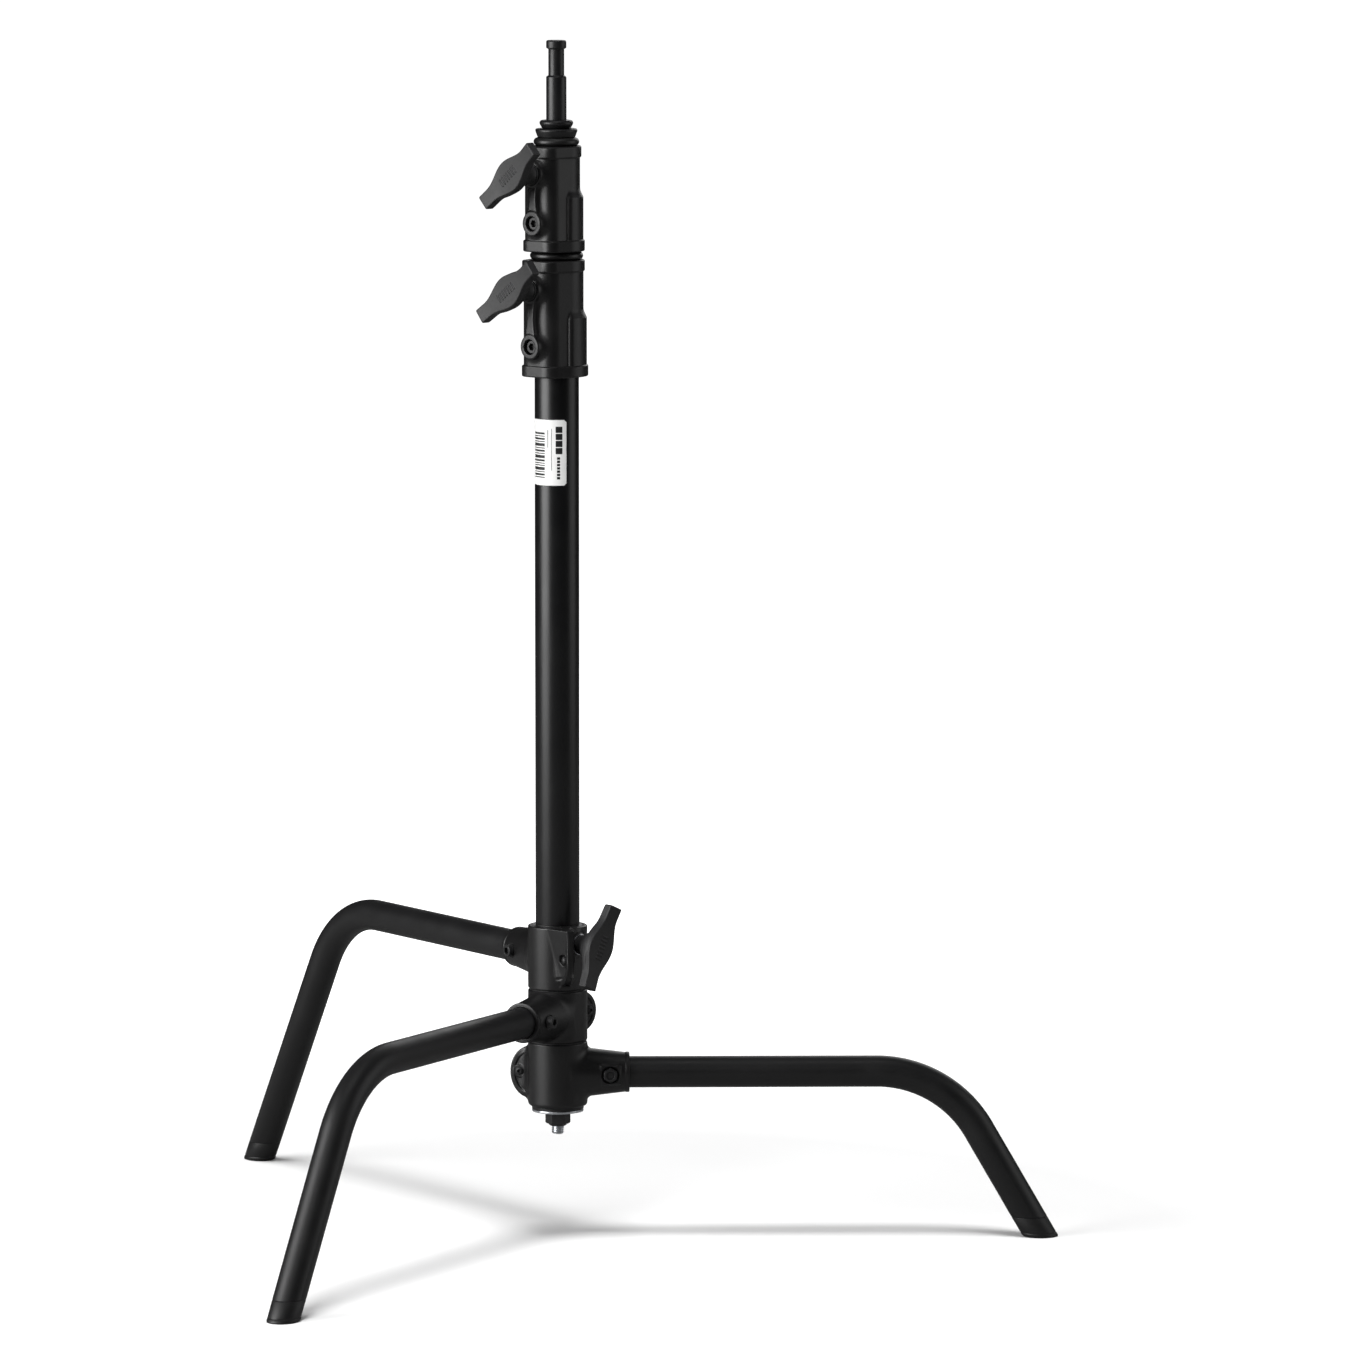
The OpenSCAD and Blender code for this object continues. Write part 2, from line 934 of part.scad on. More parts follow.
module upper_collar() {
    color([0.05, 0.05, 0.05])
    difference() {
        collar_solid(upper_collar_z, upper_collar_h, 18.6, 21.2, upper_facet, upper_boss,
            upper_screw_z, upper_bolt_z, 831);
        translate([0, 0, upper_collar_z - 1])
        cylinder(d = riser_2_d + 2 * seat, h = riser_2_seat + 1 + seat);
        translate([0, 0, upper_collar_z])
        cylinder(d = riser_3_d + 2 * run, h = 120);
        lock_bore(lock_az, upper_screw_z);
        shoe_pocket(lock_az, upper_screw_z, riser_3_d / 2);
        bolt_hole(upper_bolt_z, upper_boss);
    }
}

module upper_collar_bolt() {
    color([0.1, 0.1, 0.1])
    fixing_bolt(upper_bolt_z, upper_boss, riser_2_d / 2);
}

module upper_bumper() {
    color([0.03, 0.03, 0.03])
    round_ring(riser_3_d / 2 + 0.3, 18, upper_collar_z + upper_collar_h, bumper_h);
}

// ---- Top riser ----

module riser_3_bush() {
    color([0.85, 0.85, 0.82])
    guide_bush(riser_3_d, riser_2_d - 2 * wall, riser_3_z);
}

module riser_3_tube() {
    color([0.03, 0.03, 0.03])
    tube(riser_3_d, riser_3_foot_z, pin_base_z - riser_3_foot_z);
}

// Tapered ring that stops the riser on the collar's bumper
module stop_ring() {
    bore = pin_root_r + 0.05;
    color([0.04, 0.04, 0.04])
    translate([0, 0, pin_base_z])
    rotate_extrude()
    polygon([[bore, 0], [14.8, 0], [16.6, 5], [16.6, 6.1], [15.9, 6.8], [bore, 6.8]]);
}

module cap_ring() {
    bore = pin_root_r + 0.05;
    color([0.04, 0.04, 0.04])
    translate([0, 0, pin_base_z + 6.9])
    rotate_extrude()
    polygon([[bore, 0], [11.2, 0], [13.4, 4], [13.2, 5.4], [12.1, 6.5], [bore, 6.8]]);
}

// Lamp pin: plug in the riser, root in the rings, shaft, neck and head
module lamp_pin() {
    plug_r = riser_3_d / 2 - wall - seat;
    // The head is a touch thinner than the shaft, so that a socket slides on freely
    head_r = pin_d / 2 - 0.05;
    color([0.05, 0.05, 0.05])
    rotate_extrude()
    polygon([
        [0, pin_base_z - 34], [9, pin_base_z - 34], [plug_r, pin_base_z - 32], [plug_r, pin_base_z],
        [pin_root_r, pin_base_z], [pin_root_r, shaft_z], [pin_d / 2, shaft_z],
        [pin_d / 2, pin_neck_z - 0.8], [pin_d / 2 - 0.8, pin_neck_z], [neck_d / 2, pin_neck_z + 0.4],
        [neck_d / 2, pin_head_z - 0.6], [head_r - 0.5, pin_head_z], [head_r, pin_head_z + 0.5],
        [head_r, pin_top_z - 0.8], [head_r - 0.8, pin_top_z], [0, pin_top_z]
    ]);
}

low_hub();
low_leg();
low_foot();
low_leg_bolt();
low_leg_nut();
low_ear_screw();
pivot_sleeve();
centre_stud();
zinc_washer();
lock_nut();
lower_swivel_disc();
mid_hub();
mid_leg();
mid_foot();
mid_leg_bolt();
mid_leg_nut();
mid_ear_screw();
upper_swivel_disc();
top_hub();
top_leg();
top_foot();
top_leg_bolt();
top_leg_nut();
top_ear_screw();
column_receiver();
base_lock_washer();
base_handle();
base_lock_screw();
base_lock_shoe();
thrust_ring();
column_tube();
column_spigot();
spigot_rivets();
label_sticker();
lower_collar();
lower_collar_bolt();
lower_bumper();
lower_lock_washer();
lower_handle();
lower_lock_screw();
lower_lock_shoe();
riser_2_bush();
riser_2_tube();
upper_collar();
upper_collar_bolt();
upper_bumper();
upper_lock_washer();
upper_handle();
upper_lock_screw();
upper_lock_shoe();
riser_3_bush();
riser_3_tube();
stop_ring();
cap_ring();
lamp_pin();
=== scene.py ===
"""Looks of the c stand: cast hubs and collars, wing handles, coated tubes, label, floor, light and camera.

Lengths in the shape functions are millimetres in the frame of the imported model; meshes are made in metres.
"""

import math

import bpy
import numpy as np
from mathutils import Matrix, Vector


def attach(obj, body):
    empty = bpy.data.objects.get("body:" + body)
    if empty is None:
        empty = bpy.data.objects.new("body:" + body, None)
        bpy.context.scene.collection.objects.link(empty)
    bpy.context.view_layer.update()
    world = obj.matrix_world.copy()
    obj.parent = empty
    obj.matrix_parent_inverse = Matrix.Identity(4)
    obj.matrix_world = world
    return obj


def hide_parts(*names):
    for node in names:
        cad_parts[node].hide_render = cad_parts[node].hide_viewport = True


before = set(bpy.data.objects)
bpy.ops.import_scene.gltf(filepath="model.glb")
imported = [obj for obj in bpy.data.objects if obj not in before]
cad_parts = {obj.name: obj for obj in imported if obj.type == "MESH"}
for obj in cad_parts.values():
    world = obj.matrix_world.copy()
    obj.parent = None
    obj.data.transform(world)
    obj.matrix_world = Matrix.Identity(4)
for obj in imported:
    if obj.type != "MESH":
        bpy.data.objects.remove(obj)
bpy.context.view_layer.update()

MM = 0.001

# ---- Driving sizes, as in the CAD model ----
LEG_D = 25.0
COLUMN_R = 17.5
LOW_AZ, TOP_AZ, MID_AZ = 1.0, 124.4, 240.5
LOW_Z, MID_Z, TOP_Z = 133.5, 180.5, 227.5
CORNER_R, MID_REACH, TOP_REACH = 308.0, 3.5, 10.5
BEND_R, SLOPE, FOOT_H = 94.0, 60.0, 16.0
HUB_R = 23.6
LOCK_AZ, BASE_LOCK_AZ = 228.0, 312.0
HANDLE_L, HANDLE_W, HANDLE_TIP_W, HANDLE_H, HANDLE_T = 69.0, 25.0, 12.5, 25.0, 9.0
WASHER_H = 1.5
# Riser radii, and the running clearance round a tube or screw
RISER_2_R, RISER_3_R, RUN = 15.0, 12.5, 0.08
# Height of each locking screw, and how far its boss's face is from the column axis
BASE_SCREW_Z, BASE_FACE = 239.0, 26.5
LOWER_SCREW_Z, LOWER_FACE = 759.0, 32.0
UPPER_SCREW_Z, UPPER_FACE = 850.0, 29.4
# Heights of the collars' fixing bolts
LOWER_BOLT_Z, UPPER_BOLT_Z = 714.0, 811.0
# Bores for the pivot sleeve, a locking screw and a pressure shoe
SLEEVE_BORE_R, SCREW_BORE_R, SHOE_BORE_R = 17.08, 4.08, 5.95
# Top faces of the three hubs
LOW_HUB_TOP, MID_HUB_TOP, TOP_HUB_TOP = 158.5, 200.5, 252.0
# Lamp pin: shaft and hidden root, head, and the neck between
PIN_R, PIN_ROOT_R, PIN_HEAD_R, PIN_NECK_R = 8.0, 7.8, 7.95, 6.25
# Camera: lens in millimetres, place in metres, degrees below level
LENS, CAMERA_PLACE, CAMERA_DOWN = 258.4, (0.0988, -7.696, 1.382), 6.934


# ---- Camera ----

def make_camera():
    """Long lens about 7.7 m away, looking 7 degrees down, as the object was seen."""
    data = bpy.data.cameras.new("camera")
    data.lens = LENS
    data.sensor_width = 36.0
    data.clip_end = 50.0
    cam = bpy.data.objects.new("camera", data)
    cam.location = CAMERA_PLACE
    cam.rotation_euler = (math.radians(90 - CAMERA_DOWN), 0, 0)
    bpy.context.scene.collection.objects.link(cam)
    bpy.context.scene.camera = cam


make_camera()


# ---- Distance fields ----
# A shape is a function of points x, y, z that is negative inside. Soft unions give the fillets of a casting.

def soft_union(a, b, k):
    """Both shapes, with a fillet of about k where they meet."""
    h = np.clip(0.5 + 0.5 * (b - a) / k, 0, 1)
    return b + h * (a - b) - k * h * (1 - h)


def soft_cut(a, b, k):
    """Shape a without shape b, with the edge eased by k."""
    return -soft_union(-a, b, k)


def soft_common(a, b, k):
    """What two shapes share, with the edge eased by k."""
    return -soft_union(-a, -b, k)


def turned(x, y, degrees):
    """Coordinates in a frame turned by a bearing about Z."""
    c, s = math.cos(math.radians(degrees)), math.sin(math.radians(degrees))
    return c * x + s * y, c * y - s * x


def capped(radial, along, low, high, ease):
    """A round or prismatic body cut square at low and high, its rims eased."""
    ends = np.abs(along - (low + high) / 2) - (high - low) / 2
    return soft_common(radial, ends, ease)


def rod(a, b, along, r, low, high, ease=0.6):
    """Cylinder about the axis a = b = 0."""
    return capped(np.hypot(a, b) - r, along, low, high, ease)


def taper(a, b, along, r0, r1, low, high, ease=0.8):
    """Cone frustum of radius r0 at low and r1 at high."""
    lean = (r1 - r0) / (high - low)
    radial = (np.hypot(a, b) - r0 - lean * (along - low)) / math.hypot(1, lean)
    return capped(radial, along, low, high, ease)


def block(x, y, z, centre, half, ease=0.6):
    """Rounded block from its centre and half sizes."""
    qx = np.abs(x - centre[0]) - half[0] + ease
    qy = np.abs(y - centre[1]) - half[1] + ease
    qz = np.abs(z - centre[2]) - half[2] + ease
    outside = np.sqrt(np.maximum(qx, 0) ** 2 + np.maximum(qy, 0) ** 2 + np.maximum(qz, 0) ** 2)
    return outside + np.minimum(np.maximum(qx, np.maximum(qy, qz)), 0) - ease


# ---- Meshing a field ----

def sample_field(shape, low, high, step):
    """Values on a grid, worked out finely only in blocks near the surface."""
    block_n = 4
    side = block_n * step
    counts = np.ceil((high - low) / side).astype(int)
    axes = [low[i] + side * (np.arange(counts[i]) + 0.5) for i in range(3)]
    gx, gy, gz = np.meshgrid(*axes, indexing="ij")
    coarse = shape(gx.ravel(), gy.ravel(), gz.ravel()).reshape(counts)
    near = np.abs(coarse) < side * 1.3
    field = coarse
    for axis in range(3):
        field = np.repeat(field, block_n, axis)
        near = np.repeat(near, block_n, axis)
    cells = np.argwhere(near)
    points = low + step * (cells + 0.5)
    field[near] = shape(points[:, 0], points[:, 1], points[:, 2])
    return field


CORNERS = np.array([(i, j, k) for i in (0, 1) for j in (0, 1) for k in (0, 1)])
CELL_EDGES = [(a, b) for a in range(8) for b in range(a + 1, 8)
              if np.abs(CORNERS[a] - CORNERS[b]).sum() == 1]


def net_surface(field):
    """Surface net of a grid: one point in each cell that the surface crosses, and quads between them."""
    inside = field < 0
    n = np.array(field.shape) - 1
    total = np.zeros(n, np.int8)
    for c in CORNERS:
        total += inside[c[0]:n[0] + c[0], c[1]:n[1] + c[1], c[2]:n[2] + c[2]]
    active = (total > 0) & (total < 8)
    cells = np.argwhere(active)
    index = np.full(n, -1)
    index[active] = np.arange(len(cells))
    values = [field[tuple((cells + c).T)] for c in CORNERS]
    summed = np.zeros((len(cells), 3))
    hits = np.zeros(len(cells))
    for a, b in CELL_EDGES:
        cross = (values[a] < 0) != (values[b] < 0)
        t = values[a][cross] / (values[a][cross] - values[b][cross])
        summed[cross] += CORNERS[a] + t[:, None] * (CORNERS[b] - CORNERS[a])
        hits[cross] += 1
    points = cells + summed / hits[:, None]
    quads = []
    for axis in range(3):
        u, v = [d for d in range(3) if d != axis]
        first = np.moveaxis(inside, axis, 0)
        change = np.moveaxis(first[:-1] != first[1:], 0, axis)
        at = np.argwhere(change)
        at = at[(at[:, u] > 0) & (at[:, v] > 0) & (at[:, u] < n[u]) & (at[:, v] < n[v])]
        ring = []
        for du, dv in ((0, 0), (1, 0), (1, 1), (0, 1)):
            cell = at.copy()
            cell[:, u] -= du
            cell[:, v] -= dv
            ring.append(index[tuple(cell.T)])
        quad = np.stack(ring, 1)
        outward = inside[tuple(at.T)]
        if axis == 1:
            outward = ~outward
        quad[~outward] = quad[~outward][:, ::-1]
        quads.append(quad)
    return points, np.concatenate(quads)


# ---- Materials ----

def new_material(name, colour, roughness, metallic=0.0):
    """Material and its principled shader."""
    mat = bpy.data.materials.new(name)
    mat.use_nodes = True
    shader = mat.node_tree.nodes["Principled BSDF"]
    shader.inputs["Base Color"].default_value = (*colour, 1)
    shader.inputs["Roughness"].default_value = roughness
    shader.inputs["Metallic"].default_value = metallic
    return mat, shader


def noise(tree, size, detail=2.0, stretch=None):
    """Noise whose grains are about `size` metres across, drawn out along an axis by `stretch`."""
    coords = tree.nodes.new("ShaderNodeTexCoord")
    out = coords.outputs["Object"]
    if stretch:
        mapping = tree.nodes.new("ShaderNodeMapping")
        mapping.inputs["Scale"].default_value = stretch
        tree.links.new(out, mapping.inputs["Vector"])
        out = mapping.outputs["Vector"]
    tex = tree.nodes.new("ShaderNodeTexNoise")
    tex.inputs["Scale"].default_value = 1.0 / size
    tex.inputs["Detail"].default_value = detail
    tree.links.new(out, tex.inputs["Vector"])
    return tex.outputs["Fac"]


def ramp(tree, value, low, high, colours=((0, 0, 0), (1, 1, 1))):
    """Colour that runs between two positions of a value."""
    node = tree.nodes.new("ShaderNodeValToRGB")
    node.color_ramp.elements[0].position = low
    node.color_ramp.elements[1].position = high
    for element, colour in zip(node.color_ramp.elements, colours):
        element.color = (*colour, 1)
    tree.links.new(value, node.inputs["Fac"])
    return node.outputs["Color"]


def span(tree, value, low, high, from_low=0.3, from_high=0.7):
    """Maps a noise value to a range, for roughness."""
    node = tree.nodes.new("ShaderNodeMapRange")
    for key, number in (("From Min", from_low), ("From Max", from_high), ("To Min", low), ("To Max", high)):
        node.inputs[key].default_value = number
    tree.links.new(value, node.inputs["Value"])
    return node.outputs["Result"]


def bump(tree, shader, height, strength, distance):
    """Fine surface relief from a height value."""
    node = tree.nodes.new("ShaderNodeBump")
    node.inputs["Strength"].default_value = strength
    node.inputs["Distance"].default_value = distance
    tree.links.new(height, node.inputs["Height"])
    tree.links.new(node.outputs["Normal"], shader.inputs["Normal"])


def mix_colour(tree, factor, a, b):
    """Blend of two colours or colour outputs."""
    node = tree.nodes.new("ShaderNodeMix")
    node.data_type = "RGBA"
    tree.links.new(factor, node.inputs[0])
    for socket, value in ((node.inputs[6], a), (node.inputs[7], b)):
        if isinstance(value, tuple):
            socket.default_value = (*value, 1)
        else:
            tree.links.new(value, socket)
    return node.outputs[2]


def coated(name, dark, light, rough, grain=0.0006, depth=0.00002, worn=None):
    """Powder coat or moulded grain: fine bumps, cloudy tone and gloss, rubbed edges."""
    mat, shader = new_material(name, dark, rough[0])
    tree = mat.node_tree
    clouds = noise(tree, 0.03, 4.0)
    fine = noise(tree, grain, 3.0)
    tone = mix_colour(tree, ramp(tree, clouds, 0.35, 0.7), dark, light)
    if worn:
        edges = tree.nodes.new("ShaderNodeNewGeometry").outputs["Pointiness"]
        rubbed = tree.nodes.new("ShaderNodeMath")
        rubbed.operation = "MULTIPLY"
        tree.links.new(ramp(tree, edges, 0.53, 0.62), rubbed.inputs[0])
        tree.links.new(ramp(tree, noise(tree, 0.004, 4.0), 0.4, 0.65), rubbed.inputs[1])
        tone = mix_colour(tree, rubbed.outputs[0], tone, worn)
    tree.links.new(tone, shader.inputs["Base Color"])
    tree.links.new(span(tree, clouds, rough[0], rough[1]), shader.inputs["Roughness"])
    bump(tree, shader, fine, 0.6, depth)
    return mat


def turned_metal(name, colour, dull, rough, groove=(1, 1, 60)):
    """Bare or plated metal with fine tool marks round the axis."""
    mat, shader = new_material(name, colour, rough[0], 1.0)
    tree = mat.node_tree
    marks = noise(tree, 0.004, 3.0, groove)
    stains = noise(tree, 0.006, 4.0)
    tree.links.new(mix_colour(tree, ramp(tree, stains, 0.4, 0.75), colour, dull), shader.inputs["Base Color"])
    tree.links.new(span(tree, marks, rough[0], rough[1]), shader.inputs["Roughness"])
    bump(tree, shader, marks, 0.3, 0.00002)
    return mat


TUBE_COAT = coated("tube_coat", (0.0022, 0.0022, 0.0026), (0.0032, 0.0032, 0.0036),
                   (0.30, 0.36), 0.0005, 0.000012)
LEG_COAT = coated("leg_coat", (0.0045, 0.0045, 0.0048), (0.0065, 0.0065, 0.0068),
                  (0.42, 0.50), 0.0005, 0.000014)
RISER_COAT = coated("riser_coat", (0.0030, 0.0030, 0.0034), (0.0044, 0.0044, 0.0048),
                    (0.28, 0.34), 0.0004, 0.000008)
CASTING = coated("casting_coat", (0.0036, 0.0035, 0.0037), (0.0062, 0.0061, 0.0063), (0.37, 0.44),
                 0.0007, 0.00003, worn=(0.024, 0.024, 0.025))
HANDLE = coated("handle_grain", (0.010, 0.010, 0.0105), (0.015, 0.015, 0.0155), (0.50, 0.60),
                0.0005, 0.00005, worn=(0.045, 0.045, 0.047))
RUBBER = coated("rubber", (0.004, 0.004, 0.004), (0.007, 0.007, 0.007), (0.30, 0.42), 0.0009, 0.00002)
FOOT = coated("foot_rubber", (0.0045, 0.0045, 0.0047), (0.0075, 0.0075, 0.0077),
              (0.44, 0.54), 0.0008, 0.00004)
PIN_COAT = coated("pin_coat", (0.0035, 0.0035, 0.0040), (0.0055, 0.0055, 0.0060),
                  (0.35, 0.42), 0.0005, 0.000008)
OXIDE = coated("black_oxide", (0.009, 0.009, 0.0095), (0.018, 0.018, 0.0185), (0.42, 0.52), 0.0006, 0.00002)
NYLON_BLACK = coated("black_nylon", (0.010, 0.010, 0.010), (0.018, 0.018, 0.018),
                     (0.45, 0.55), 0.0008, 0.00002)
NYLON = coated("natural_nylon", (0.62, 0.60, 0.55), (0.72, 0.71, 0.67), (0.40, 0.50), 0.0010, 0.00002)
ZINC = turned_metal("zinc_plate", (0.74, 0.76, 0.79), (0.52, 0.54, 0.57), (0.24, 0.40))
STEEL = turned_metal("turned_steel", (0.50, 0.50, 0.51), (0.34, 0.34, 0.35), (0.28, 0.42))
RECEIVER = turned_metal("receiver_metal", (0.20, 0.20, 0.21), (0.11, 0.11, 0.12), (0.38, 0.50))
BRASS = turned_metal("brass", (0.66, 0.47, 0.18), (0.42, 0.29, 0.11), (0.24, 0.38))
PAPER = coated("label_paper", (0.86, 0.86, 0.85), (0.90, 0.90, 0.89), (0.45, 0.55), 0.0008, 0.000006)
INK = coated("label_ink", (0.006, 0.006, 0.006), (0.012, 0.012, 0.012), (0.5, 0.6), 0.0008, 0.000006)

NODE_LOOKS = {
    STEEL: ("pivot_sleeve", "base_lock_screw", "lower_lock_screw", "upper_lock_screw"),
    OXIDE: ("spigot_rivets",),
    RECEIVER: ("column_receiver",),
    NYLON: ("riser_2_bush", "riser_3_bush"),
    BRASS: ("base_lock_shoe", "lower_lock_shoe", "upper_lock_shoe"),
}


def dress_nodes():
    """Gives the CAD nodes that stay visible their materials."""
    for material, names in NODE_LOOKS.items():
        for name in names:
            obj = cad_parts[name]
            for material_slot in obj.material_slots:
                material_slot.material = material


# ---- Pieces from distance fields ----

def slope_of(shape, points, h):
    """The field's slope at each point, from differences h to either side."""
    x, y, z = points.T
    return np.stack([
        shape(x + h, y, z) - shape(x - h, y, z),
        shape(x, y + h, z) - shape(x, y - h, z),
        shape(x, y, z + h) - shape(x, y, z - h)], 1) / (2 * h)


def settle(shape, points, rounds=3):
    """Moves mesh points onto the exact surface along the field's slope."""
    for _ in range(rounds):
        slope = slope_of(shape, points, 0.02)
        move = -shape(*points.T)[:, None] * slope / np.maximum((slope ** 2).sum(1), 0.2)[:, None]
        points = points + np.clip(move, -0.2, 0.2)
    return points


def mesh_of(name, points, faces):
    """Mesh from points and faces."""
    mesh = bpy.data.meshes.new(name)
    mesh.from_pydata(np.asarray(points).tolist(), [], [list(map(int, f)) for f in faces])
    mesh.validate()
    return mesh


def thinned(mesh, ratio):
    """Joins mesh faces where the surface is flat or gently curved."""
    obj = bpy.data.objects.new("thinning", mesh)
    bpy.context.scene.collection.objects.link(obj)
    obj.modifiers.new("thin", "DECIMATE").ratio = ratio
    graph = bpy.context.evaluated_depsgraph_get()
    result = bpy.data.meshes.new_from_object(obj.evaluated_get(graph))
    bpy.data.objects.remove(obj)
    bpy.data.meshes.remove(mesh)
    return result


def field_solid(shape, low, high, step, ratio=0.3):
    """Points, faces and exact normals of a shape, in its own frame."""
    low, high = np.array(low, float), np.array(high, float)
    points, quads = net_surface(sample_field(shape, low, high, step))
    points = settle(shape, low + step * (points + 0.5))
    mesh = thinned(mesh_of("solid", points, quads), ratio)
    points = np.empty(len(mesh.vertices) * 3)
    mesh.vertices.foreach_get("co", points)
    points = settle(shape, points.reshape(-1, 3), 1)
    faces = [tuple(p.vertices) for p in mesh.polygons]
    bpy.data.meshes.remove(mesh)
    normals = slope_of(shape, points, step * 0.3)
    normals /= np.maximum(np.linalg.norm(normals, axis=1), 1e-6)[:, None]
    return points, faces, normals


def add_piece(name, solid, body, slot, material, replaces=(), place=Matrix()):
    """A piece from points, faces and normals in millimetres, put in place by a matrix."""
    points, faces, normals = solid
    turn = np.array(place)
    points = (np.asarray(points) @ turn[:3, :3].T + turn[:3, 3]) * MM
    mesh = mesh_of(name, points, faces)
    mesh.polygons.foreach_set("use_smooth", [True] * len(mesh.polygons))
    if normals is None:
        mesh.set_sharp_from_angle(angle=math.radians(35))
    else:
        mesh.normals_split_custom_set_from_vertices((np.asarray(normals) @ turn[:3, :3].T).tolist())
    mesh.materials.append(material)
    obj = bpy.data.objects.new(name, mesh)
    bpy.context.scene.collection.objects.link(obj)
    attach(obj, body)
    if replaces:
        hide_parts(*replaces)
    return obj


def bearing_place(bearing, z, out=0.0, tilt=0.0):
    """From a frame with X outward from the column axis to the model's frame."""
    return (Matrix.Rotation(math.radians(bearing), 4, "Z")
            @ Matrix.Translation((out, 0, z)) @ Matrix.Rotation(math.radians(tilt), 4, "X"))


# ---- Collars ----

# Half width of a collar's flat front
FACET_HW = 15.8


def collar_outline(x, y, r, facet, crease):
    """Round back and flat front joined by tangent lines."""
    tangent = math.atan2(FACET_HW, facet) + math.acos(r / math.hypot(facet, FACET_HW))
    side = math.cos(tangent) * x + math.sin(tangent) * np.abs(y) - r
    front = soft_common(side, x - facet, crease)
    return np.where(np.abs(np.arctan2(y, x)) < tangent, front, np.hypot(x, y) - r)


def collar_shape(z0, height, r_top, r_low, facet, face, screw_z, bolt_z, step_z, seat, riser_r):
    """Riser collar: body, lips, thicker back, bosses joined by a web, and its bores."""
    mid, half = (screw_z + bolt_z) / 2, (screw_z - bolt_z) / 2
    z1 = z0 + height
    lean = (r_low - r_top + 0.2) / 6

    def shape(gx, gy, z):
        x, y = turned(gx, gy, LOCK_AZ)
        radius = np.hypot(x, y)
        d = capped(collar_outline(x, y, r_top, facet, 10), z, z0 + 1, z1 - 1, 1)
        back = np.maximum(radius - r_low, (radius - r_low + (z - step_z) * lean) / math.hypot(1, lean))
        edge = 0.914 * x - 0.407 * np.abs(y)
        d = soft_union(d, capped(soft_common(back, edge, 5), z, z0 + 1, z1, 1), 0.8)
        top_lip = capped(collar_outline(x, y, r_top + 1.1, facet + 0.7, 8), z, z1 - 9.1, z1, 1.3)
        low_lip = capped(collar_outline(x, y, r_low + 1.1, facet + 0.7, 8), z, z0, z0 + 9.1, 1.3)
        d = soft_union(soft_union(d, top_lip, 0.5), low_lip, 0.5)
        swell = np.clip((z - mid) / half, -1, 1) ** 2
        web = np.maximum(np.abs(y) - 3.8 - 4.6 * swell, np.abs(z - mid) - half)
        web = np.maximum(soft_common(web, x - face + 0.8, 1.6), 12 - x)
        bosses = soft_union(rod(y, z - screw_z, x, 9.75, 12, face, 1.4),
                            rod(y, z - bolt_z, x, 9.75, 12, face, 1.4), 0.5)
        d = soft_union(d, soft_union(bosses, web, 1.6), 5)
        d = soft_cut(d, rod(x, y, z, seat[0], z0 - 20, seat[1], 0.2), 0.6)
        d = soft_cut(d, radius - riser_r, 0.6)
        d = soft_cut(d, rod(y, z - screw_z, x, SCREW_BORE_R, 0, 60), 0.5)
        d = soft_cut(d, rod(y, z - screw_z, x, SHOE_BORE_R, 0, riser_r + 6.3), 0.3)
        d = soft_cut(d, rod(y, z - bolt_z, x, 3.2, 0, 60), 0.3)
        return soft_cut(d, rod(y, z - bolt_z, x, 5.8, face - 6.6, 60, 0.2), 0.9)
    return shape


def add_collars():
    lower = collar_shape(689.5, 92, 21.2, 23.8, 25.7, LOWER_FACE, LOWER_SCREW_Z, LOWER_BOLT_Z, 736,
                         (17.55, 744.55), RISER_2_R + RUN)
    add_piece("lower_collar_casting", field_solid(lower, (-36, -36, 687), (36, 36, 784), 0.5),
              "column", "collar_casting", CASTING, ("lower_collar",))
    upper = collar_shape(788.2, 83, 18.6, 21.2, 24.3, UPPER_FACE, UPPER_SCREW_Z, UPPER_BOLT_Z, 831,
                         (15.05, 835.25), RISER_3_R + RUN)
    add_piece("upper_collar_casting", field_solid(upper, (-33, -33, 786), (33, 33, 873.5), 0.5),
              "riser_2", "collar_casting", CASTING, ("upper_collar",))


# ---- Hubs ----

# An ear's bearing from its leg, and radii of its root, screw and tip; radius of the leg's cross bolt
EAR_TURN, EAR_ROOT, EAR_R, EAR_REACH = 162.0, 22.0, 31.0, 39.0
BOLT_R = 41.7


def ear_shape(x, y, z, h, zc, half, full_top):
    """Half-oval plate with a raised rim and a round pad for its screw."""
    wide, tall = EAR_REACH - EAR_ROOT, half * 0.82
    oval = (np.hypot(np.maximum(x - EAR_ROOT, 0) / wide, (z - zc) / tall) - 1) * min(wide, tall)
    if full_top:
        upright = np.maximum(x - EAR_REACH + 0.06 * (z - zc), z - zc - half)
        oval = np.where(z > zc, upright, oval)
    rim = np.clip((oval + 4.4) / 1.2, 0, 1)
    fairing = 0.05 * np.maximum(33 - np.maximum(x, 23.5), 0) ** 2 * np.clip(-oval / 6, 0, 1)
    plate = soft_common(oval, np.abs(y) - 2.1 - 0.9 * rim * rim * (3 - 2 * rim) - fairing, 1.2)
    pad = rod(x - EAR_R, z - h, y, 5.2, -3, 3, 0.6)
    return soft_union(np.maximum(plate, 16 - x), pad, 0.8)


